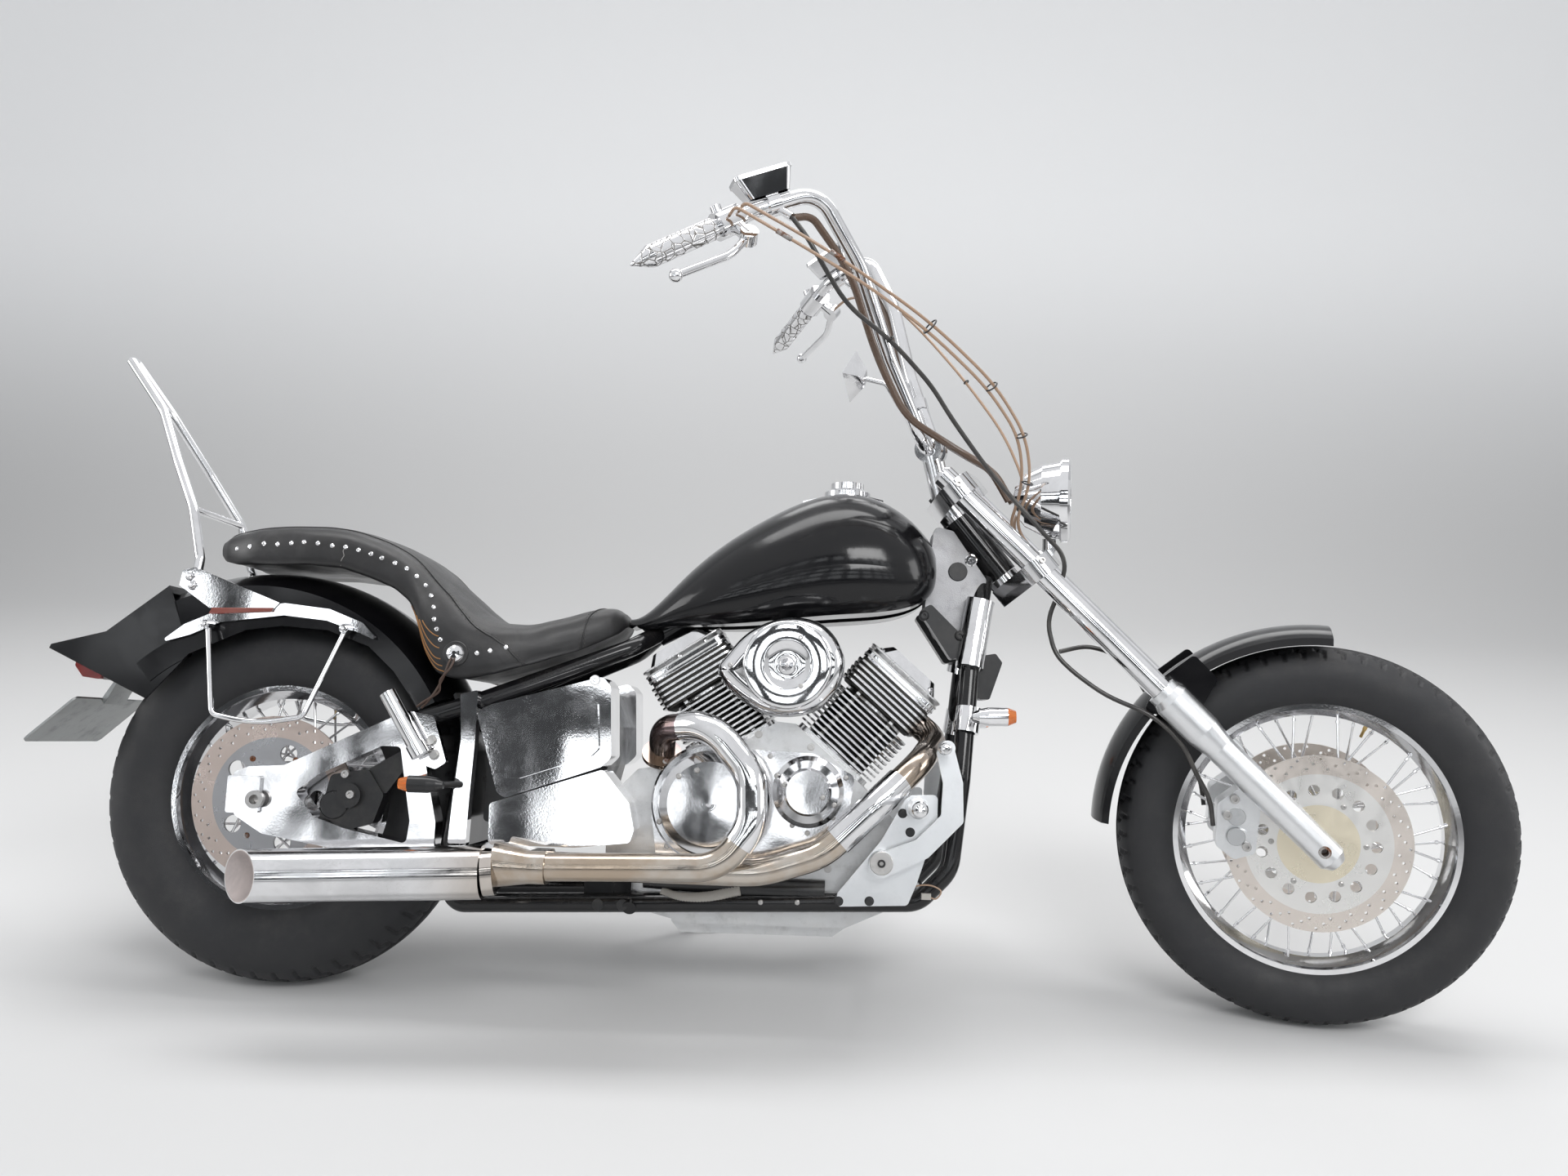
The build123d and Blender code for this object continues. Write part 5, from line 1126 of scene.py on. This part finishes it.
def smooth_loop(points, steps):
    """Closed curve through a few given points."""
    count = len(points)
    return [p for i in range(count)
            for p in arc_through(*(Vector(points[(i + k) % count]) for k in (-1, 0, 1, 2)), steps)]


def along_curve(points, steps):
    """Open curve through given points."""
    first, *_, last = points = [Vector(p) for p in points]
    ends = [2 * first - points[1], *points, 2 * last - points[-2]]
    runs = zip(ends, ends[1:], ends[2:], ends[3:])
    return [p for four in runs for p in arc_through(*four, steps)] + [last]


def drawn_in(loop, inset):
    """Loop moved towards its inside by an equal distance."""
    count = len(loop)
    moved = []
    for i, point in enumerate(loop):
        run = (loop[(i + 1) % count] - loop[i - 1]).normalized()
        moved.append(point + Vector((-run.y, run.x)) * inset)
    return moved


def joined(name, meshes):
    """One mesh out of several."""
    made = bmesh.new()
    for mesh in meshes:
        made.from_mesh(mesh)
        bpy.data.meshes.remove(mesh)
    result = bpy.data.meshes.new(name)
    made.to_mesh(result)
    made.free()
    return result


def block(name, outline, low, high, material):
    """Bevelled plate on the frame with an outline in X and Z, between two depths."""
    edge = min(1.2, abs(high - low) / 3)
    loop = [Vector(p) for p in outline]
    if sum(a.x * b.y - b.x * a.y for a, b in zip(loop, loop[1:] + loop[:1])) < 0:
        loop.reverse()
    step = edge if high > low else -edge
    loops = [[at(p.x, y, p.y) for p in drawn_in(loop, inset)]
             for y, inset in ((low, edge), (low + step, 0), (high - step, 0), (high, edge))]
    return new_piece(name, closed_stack(name, loops), material, "frame", smooth=False)


class MOTO_OT_engine_dress(bpy.types.Operator):
    """Teardrop air cleaner with its dished disc, and the fins of both heads"""
    bl_idname = "moto.engine_dress"
    bl_label = "Engine Dress"

    def air_cleaner(self):
        outline = smooth_loop(AIR_OUTLINE, 8)
        loops = [[at(p.x, y, p.y) for p in drawn_in(outline, inset)] for y, inset in AIR_RIM]
        body = closed_stack("air_body", loops)
        turn, (x, z), face = [2 * pi * i / 72 for i in range(72)], AIR, AIR_RIM[-1][0]
        loops = [[at(x + r * cos(a), face - h, z + r * sin(a)) for a in turn] for h, r in AIR_DISC]
        shell = joined("air_cleaner_shell", [body, closed_stack("air_disc", loops)])
        piece = new_piece("air_cleaner_shell", shell, "chrome", "frame", "air_cleaner")

    def head_fins(self, name, degrees):
        up = Vector((sin(radians(degrees)), 0, cos(radians(degrees))))
        across = Vector((cos(radians(degrees)), 0, -sin(radians(degrees))))
        outline = []
        for i, (sx, sy) in enumerate(((1, -1), (1, 1), (-1, 1), (-1, -1))):
            x, y = sx * (HEAD_WIDTH / 2 - HEAD_CORNER), sy * (HEAD_DEPTH / 2 - HEAD_CORNER)
            turns = [radians(-90 + 90 * i + 15 * k) for k in range(7)]
            outline += [(x + HEAD_CORNER * cos(a), y + HEAD_CORNER * sin(a)) for a in turns]
        crank, fins = Vector((CRANK[0], 0, CRANK[1])), []
        edges = ((0, FIN_EDGE), (FIN_EDGE, 0), (FIN_THICK - FIN_EDGE, 0), (FIN_THICK, FIN_EDGE))
        for i in range(HEAD_FINS):
            loops = []
            for rise, inset in edges:
                centre = crank + up * (HEAD_TOP + FIN_START + i * FIN_PITCH + rise)
                share = 1 - inset * 2 / HEAD_WIDTH
                loops.append([PLACE @ ((centre + across * x * share + Vector((0, y * share, 0))) * MM)
                              for x, y in outline])
            fins.append(closed_stack("fin", loops))
        mesh = joined(f"head_fins_{name}", fins)
        new_piece(f"head_fins_{name}", mesh, "fin_alloy", "frame", smooth=False)

    def execute(self, context):
        self.air_cleaner()
        for name, degrees in CYLINDERS.items():
            self.head_fins(name, degrees)
        return {"FINISHED"}


# Fasteners of the right side: x and z of the drawing, met by a ray from there; flat ones face that side
Screws = namedtuple("Screws", "name head finish node radius places flat body place",
                    defaults=(True, "frame", PLACE))
FASTENERS = [
    Screws("air_cleaner_screws", "button", "bare_steel", "air_cleaner", 4.2, [(913, 626), (916, 546),
           (797, 578)]),
    Screws("rocker_screws", "button", "chrome", "rocker_covers", 5.5, [(1053, 619), (1139, 552), (744, 625),
           (698, 597)], flat=False),
    Screws("clutch_screws", "button", "bare_steel", "engine_covers", 5.0, [(716, 391), (684, 314),
           (697, 273), (746, 402), (820, 402), (850, 340), (840, 290)]),
    Screws("pickup_screws", "button", "bare_steel", "engine_covers", 4.6, [(879, 397), (893, 383),
           (957, 364), (977, 352), (995, 397), (907, 315), (933, 303), (866, 429), (975, 330)]),
    Screws("case_screws", "hex", "bare_steel", "crankcase", 5.0, [(934, 446), (844, 465), (969, 243),
           (679, 399), (1052, 330), (1050, 250)]),
    Screws("port_nuts", "hex", "rusty_steel", "exhaust_headers", 5.0, [(688, 414)]),
    Screws("rail_plugs", "washer", "satin_black", "frame_tubes", 9.5, [(587, 174), (628, 175)]),
    Screws("rail_screws", "button", "bare_steel", "frame_tubes", 4.6, [(859, 188), (920, 190)]),
    Screws("control_screws", "hex", "satin_black", "forward_controls", 5.8, [(988, 199), (1038, 201),
           (1102, 314), (1089, 344)]),
    Screws("lever_pivot", "washer", "bare_steel", "foot_levers", 19.0, [(1055, 265)]),
    Screws("lever_screw", "socket", "satin_black", "foot_levers", 6.5, [(1055, 265)]),
    Screws("toe_peg_caps", "stud", "chrome", "forward_controls", 13.0, [(1109, 357)]),
    Screws("lever_caps", "stud", "chrome", "foot_levers", 10.0, [(1151, 452)]),
    Screws("coil_cover_screws", "button", "satin_black", "coil_cover", 9.0, [(1187, 648), (1124, 681)]),
    Screws("ignition_lock_ring", "washer", "satin_black", "neck_cover", 17.0, [(1185, 765)]),
    Screws("ignition_lock", "rivet", "chrome", "neck_cover", 11.0, [(1208, 786)]),
    Screws("side_cover_lock", "rivet", "chrome", "side_covers", 8.5, [(571, 546)]),
    Screws("guard_knobs", "acorn", "chrome", "luggage_guards", 5.5, [(-117, 622), (126, 622)]),
    Screws("peg_bracket_screws", "hex", "bare_steel", "passenger_pegs", 6.8, [(291, 436), (297, 412)]),
    Screws("rear_caliper_screws", "socket", "bare_steel", "rear_caliper", 7.0, [(138, 374), (153, 340)]),
    Screws("rear_caliper_cap", "washer", "black_plastic", "rear_caliper", 24.0, [(121, 321)]),
    Screws("rear_axle_ring", "washer", "bare_steel", "rear_axle", 11.0, [(-2, 333)]),
    Screws("sissy_screws", "acorn", "chrome", "sissy_bar", 6.5, [(-158, 706), (-152, 690)]),
    Screws("caliper_screws", "socket", "bare_steel", "front_calipers", 7.5, [(1668, 402), (1689, 323),
           (1657, 374)], body="steering", place=STEERED),
    Screws("caliper_pistons", "washer", "satin_alloy", "front_calipers", 15.0, [(1672, 372),
           (1672, 338)], body="steering", place=STEERED),
    Screws("clamp_screws_right", "socket", "bare_steel", "triple_clamps", 5.5, [(1344, 796),
           (1201, 926)], flat=False, body="steering", place=STEERED),
]
# Screws round a disc: degrees round the wheel, distance from the axle and head radius
DiscScrews = namedtuple("DiscScrews", "body place node sides turns reach radius finish")
DISC_SCREWS = (
    DiscScrews("front_wheel", FRONT_WHEEL, "front_discs", (-1, 1), range(0, 360, 60), 75, 4.8,
               "bare_steel"),
    DiscScrews("rear_wheel", REAR_WHEEL, "rear_disc", (-1,), range(60, 360, 60), 76, 5.2,
               "rusty_steel"),
)
# How far beside the machine the rays that place fasteners start, in millimetres
BESIDE = 600


def spot_on(node, place, side, x, z, radius, flat=True):
    """Where a ray across the drawing meets a node, facing that side, or as the node's skin does there."""
    point, normal = surface(node, at(x, side * BESIDE, z, place), towards(0, -side, 0, place))
    return Spot(point, towards(0, side, 0, place) if flat else normal, radius * MM)


class MOTO_OT_fasteners(bpy.types.Operator):
    """Screws, nuts, caps and rivets that the photograph shows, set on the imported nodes"""
    bl_idname = "moto.fasteners"
    bl_label = "Fasteners"

    def execute(self, context):
        for row in FASTENERS:
            spots = [spot_on(row.node, row.place, -1, x, z, row.radius, row.flat) for x, z in row.places]
            set_on_points(row.name, row.head, spots, row.finish, row.body)
        for row in DISC_SCREWS:
            spots = [spot_on(row.node, row.place, side, row.reach * cos(a), row.reach * sin(a), row.radius)
                     for side in row.sides for a in map(radians, row.turns)]
            set_on_points(f"{row.node}_screws", "button", spots, row.finish, row.body)
        return {"FINISHED"}


# Small soft and bent things: ties of the cables, ferrules, thongs, ribbed hose and a loose lead
CABLE_TIES = [((1158, -226, 1181), (92, 60, -87), 14.0), ((1256, -167, 1088), (50, 55, -75), 10.5),
              ((1305, -113, 1010), (20, 40, -80), 9.5), ((1315, -82, 930), (-30, 30, -110), 9.5),
              ((1184, 156, 1136), (78, -38, -106), 4.6), ((1090, -212, 1164), (66, 44, -74), 6.5)]
FERRULES = [((931, -362, 1314), (1058, -292, 1243)), ((1009, -316, 1289), (1158, -224, 1190)),
            ((1000, 262, 1330), (1090, 206, 1244))]
THONGS = [[(324, -171, 582), (319, -178, 566), (313, -181, 544), (303, -182, 522), (291, -182, 504),
           (278, -180, 490)],
          [(328, -171, 580), (324, -181, 560), (309, -184, 538), (306, -180, 518), (285, -184, 502),
           (270, -178, 492)]]
LOOSE_LEAD = [(1102, -150, 218), (1120, -156, 226), (1140, -160, 227), (1156, -162, 219),
              (1148, -161, 206), (1134, -158, 210)]
CONNECTOR = [(1124, 204), (1124, 214), (1140, 214), (1140, 204)]
REFLECTOR = [(-118, 641), (-114, 652), (-6, 655), (-8, 648)]
RIBBED_HOSE = [(692, -131, 197), (720, -139, 190), (770, -143, 193), (824, -140, 205)]
# Stripes a side, steps along one, and where the first starts
STRIPES, STRIPE_STEPS, STRIPE_X = 5, 16, 240
TEAR = [(116, 764), (112, 757), (115, 749), (110, 741), (108, 731)]


class MOTO_OT_small_things(bpy.types.Operator):
    """Cable ties, ferrules, concho with thongs, seat stripes, ribbed hose, loose lead and reflector"""
    bl_idname = "moto.small_things"
    bl_label = "Small Things"

    def cable_dress(self):
        for i, (centre, run, radius) in enumerate(CABLE_TIES):
            run = Vector(run).normalized()
            side = run.orthogonal().normalized()
            up, turn = run.cross(side), [2 * pi * k / 24 for k in range(24)]
            circle = [Vector(centre) + radius * (cos(a) * side + sin(a) * up) for a in turn]
            tube(f"cable_tie_{i}", circle, 0.0014, "satin_black", "steering", 8, STEERED, True)
        for i, (start, aim) in enumerate(FERRULES):
            run = (Vector(aim) - Vector(start)).normalized()
            path = [Vector(start) + run * d for d in (-3, 6, 14, 24)]
            tube(f"ferrule_{i}", path, 0.0042, "rusty_steel", "steering", 14, STEERED)

    def seat_marks(self):
        skin = skin_of(bpy.data.objects["seat_leather"].data)
        for side, hand in SIDES.items():
            point, normal = seat_side(skin, side, *CONCHO)
            rosette, concho = Spot(point, normal, 0.0215), Spot(point + normal * 0.002, normal, 0.0155)
            set_on_points(f"rosette_{hand}", "washer", [rosette], "seat_leather", "frame", 40)
            set_on_points(f"concho_{hand}", "stud", [concho], "chrome", "frame", 40)
            for i, path in enumerate(THONGS):
                path = along_curve([(x, -side * y, z) for x, y, z in path], 5)
                tube(f"thong_{hand}_{i}", path, 0.0021, "thong_leather", "frame", 8, PLACE)
        for k in range(STRIPES):
            for side, hand in SIDES.items():
                line = []
                for t in (i / STRIPE_STEPS for i in range(STRIPE_STEPS + 1)):
                    x, share = STRIPE_X + 6 * k + (66 - 9 * k) * t, 0.035 + 0.055 * k + 0.05 * t
                    point, normal = on_seat(skin, x, side * (1 - share))
                    line.append(point + normal * 0.0002)
                tube(f"stripe_{k}_{hand}", line, 0.0010, "stripe_leather", "frame", 6)
        line = [seat_side(skin, -1, x, z)[0] + towards(0, -1, 0) * 0.0001 for x, z in TEAR]
        tube("seat_tear", line, 0.0007, "tear_lining", "frame", 6)

    def underside(self):
        path = along_curve(RIBBED_HOSE, 22)
        ribs = [0.0092 if i % 2 else 0.0078 for i in range(len(path))]
        tube("ribbed_hose", path, ribs, "hose_grey", "frame", 16, PLACE)
        tube("loose_lead", along_curve(LOOSE_LEAD, 6), 0.0013, "tan_cable", "frame", 8, PLACE)
        block("lead_connector", CONNECTOR, -154, -164, "hose_grey")
        block("fender_reflector", REFLECTOR, -138.2, -141.5, "reflector")

    def execute(self, context):
        self.cable_dress()
        self.seat_marks()
        self.underside()
        return {"FINISHED"}


# Panes behind the camera, in metres
CARD_EDGES = (0.55, 3.9)
PANE_ROWS = [(1.10, 1.68), (1.95, 2.55), (3.0, 3.5)]
PANE_COLUMNS, PANE_PITCH, PANE_WIDTH, PANE_DISTANCE = 11, 0.86, 0.56, 4.6
# Floor that rises through a quarter circle into the backdrop, in metres
FLOOR_HALF, FLOOR_FRONT, COVE_START, COVE_RADIUS, WALL_TOP = 14.0, -9.0, 3.2, 2.6, 9.0
# Softboxes: place, aim, width with height, and the setting that gives the power
SOFTBOXES = {
    "key": ((1.6, -3.6, 3.6), (0.1, 0, 0.5), (2.6, 1.2), "key_power"),
    "top": ((0.0, 0.5, 4.2), (0, 0, 0.4), (5.0, 1.2), "key_power"),
    "left": ((-4.2, -0.6, 1.8), (0, 0, 0.6), (1.6, 2.0), "fill_power"),
    "front": ((4.4, -0.6, 1.8), (0, 0, 0.6), (1.6, 2.0), "fill_power"),
    "back": ((0.4, 3.0, 3.4), (0, 0.4, 0.2), (4.0, 1.0), "fill_power"),
}
# Camera: place in metres, turns in degrees and sensor width in millimetres
CAMERA_AT = (0.12507, -2.42260, 1.08921)
CAMERA_YAW, CAMERA_DOWN, CAMERA_ROLL, SENSOR_WIDTH = 2.2806, 9.3224, 1.31, 36.0


class MOTO_OT_stage(bpy.types.Operator):
    """Pale floor and backdrop, soft lamps and the camera"""
    bl_idname = "moto.stage"
    bl_label = "Stage"

    def softbox(self, name, spot, aim, size, power):
        lamp = bpy.data.lights.new(name, "AREA")
        lamp.shape, lamp.size, lamp.size_y, lamp.energy = "RECTANGLE", size[0], size[1], power
        holder = put_in_scene(name, lamp)
        holder.location = spot
        holder.rotation_euler = (Vector(aim) - Vector(spot)).to_track_quat("-Z", "Y").to_euler()

    def staged(self, name, mesh, material):
        """Mesh that belongs to the stage, not to the machine."""
        mesh.materials.append(MATERIALS[material])
        wall = put_in_scene(name, mesh)
        return wall

    def seen(self, shade):
        """1 for what is seen directly, in a reflection or through a lens, else 0."""
        ray = shade.add("ShaderNodeLightPath").outputs
        direct = shade.total(ray["Is Camera Ray"], ray["Is Glossy Ray"])
        return shade.total(direct, ray["Is Transmission Ray"], True)

    def card_wall(self, glow):
        """Dark card behind the camera with rows of bright panes, for plated faces to reflect."""
        half = PANE_COLUMNS * PANE_PITCH / 2
        card = [(-half, CARD_EDGES[0], half, CARD_EDGES[1])]
        panes = [(i * PANE_PITCH - half, low, i * PANE_PITCH - half + PANE_WIDTH, high)
                 for low, high in PANE_ROWS for i in range(PANE_COLUMNS)]
        for name, colour, strength, rectangles, ahead in (("card", (0.045, 0.047, 0.05), 0.0, card, 0.0),
                                                          ("pane", (0.0, 0.0, 0.0), glow, panes, 0.02)):
            new_material(name, Base_Color=colour, Roughness=0.9, Emission_Color=(0.94, 0.97, 1.0),
                         Emission_Strength=strength)
            corners = [(x, ahead - PANE_DISTANCE, z) for left, low, right, high in rectangles
                       for x, z in ((left, low), (right, low), (right, high), (left, high))]
            mesh = bpy.data.meshes.new(name)
            mesh.from_pydata(corners, [], [range(k, k + 4) for k in range(0, len(corners), 4)])
            self.staged(f"{name}_wall", mesh, name).visible_camera = False

    def floor(self, colour):
        shade = new_material("backdrop", Base_Color=colour, Roughness=0.9, Specular_IOR_Level=0.1)
        # Painted light: a glow growing with height, seen only directly, in reflections and through lenses
        wall = shade.between(shade.parts(shade.where())[2], 0.05, 2.2, 0.0, 0.34)
        shade.set(Emission_Color=(0.95, 0.97, 1.0), Emission_Strength=shade.product(self.seen(shade), wall))
        cove = [(COVE_START + COVE_RADIUS * sin(a), COVE_RADIUS * (1 - cos(a)))
                for a in map(radians, range(0, 91, 6))]
        curve = [(FLOOR_FRONT, 0.0), *cove, (COVE_START + COVE_RADIUS, WALL_TOP)]
        mesh = grid_mesh("floor", [[(x, y, z) for y, z in curve] for x in (FLOOR_HALF, -FLOOR_HALF)])
        mesh.polygons.foreach_set("use_smooth", [True] * len(mesh.polygons))
        self.staged("floor", mesh, "backdrop")

    def world(self, scene, strength):
        scene.world = bpy.data.worlds.new("studio")
        scene.world.use_nodes = True
        shade = Shade(scene.world.node_tree)
        sky = shade.tree.nodes["Background"].inputs
        height = shade.parts(shade.add("ShaderNodeTexCoord").outputs["Generated"])[2]
        tone = shade.mix(shade.between(height, 0.0, 0.8), (0.66, 0.67, 0.68), (0.88, 0.89, 0.91))
        shade.put(sky["Color"], tone)
        shade.put(sky["Strength"], shade.blend(self.seen(shade), strength, 1.0))

    def camera(self, scene, lens):
        down, roll = radians(CAMERA_DOWN), radians(CAMERA_ROLL)
        ahead, right = Vector((0, cos(down), -sin(down))), Vector((1, 0, 0))
        raised = Vector((0, sin(down), cos(down)))
        across, above = cos(roll) * right + sin(roll) * raised, -sin(roll) * right + cos(roll) * raised
        turn = Matrix.Rotation(radians(CAMERA_YAW), 3, "Z")
        axes = Matrix((turn @ across, turn @ above, turn @ -ahead)).transposed()
        scene.camera = put_in_scene("camera", bpy.data.cameras.new("camera"))
        scene.camera.data.lens, scene.camera.data.sensor_width = lens, SENSOR_WIDTH
        scene.camera.matrix_world = Matrix.Translation(CAMERA_AT) @ axes.to_4x4()

    def execute(self, context):
        stage = context.scene.moto_stage
        self.floor(tuple(stage.floor_colour))
        for name, (spot, aim, size, power) in SOFTBOXES.items():
            self.softbox(f"{name}_softbox", spot, aim, size, getattr(stage, power))
        self.card_wall(stage.pane_strength)
        self.world(context.scene, stage.sky_strength)
        self.camera(context.scene, stage.lens)
        context.scene.view_settings.view_transform = "Standard"
        return {"FINISHED"}


OPERATORS = (MOTO_OT_finishes, MOTO_OT_seat, MOTO_OT_tyres, MOTO_OT_spoke_nipples, MOTO_OT_engine_dress,
             MOTO_OT_fasteners, MOTO_OT_small_things, MOTO_OT_stage)
SETTINGS = {"moto_finishes": MOTO_PG_finishes, "moto_seat": MOTO_PG_seat, "moto_tyres": MOTO_PG_tyres,
            "moto_stage": MOTO_PG_stage}


class MOTO_PT_panel(bpy.types.Panel):
    """Lists the pieces that the machine's looks are made of"""
    bl_idname = "MOTO_PT_panel"
    bl_label = "Cruiser Motorcycle"
    bl_space_type = "VIEW_3D"
    bl_region_type = "UI"
    bl_category = "Motorcycle"

    def draw(self, context):
        for operator in OPERATORS:
            self.layout.operator(operator.bl_idname)


def register():
    for group in SETTINGS.values():
        bpy.utils.register_class(group)
    for operator in OPERATORS + (MOTO_PT_panel,):
        bpy.utils.register_class(operator)
    for name, group in SETTINGS.items():
        setattr(bpy.types.Scene, name, PointerProperty(type=group))


def unregister():
    for name in SETTINGS:
        delattr(bpy.types.Scene, name)
    for part in reversed(tuple(SETTINGS.values()) + OPERATORS + (MOTO_PT_panel,)):
        bpy.utils.unregister_class(part)


def main():
    register()
    for operator in OPERATORS:
        group, name = operator.bl_idname.split(".")
        getattr(getattr(bpy.ops, group), name)()


if __name__ == "__main__":
    main()
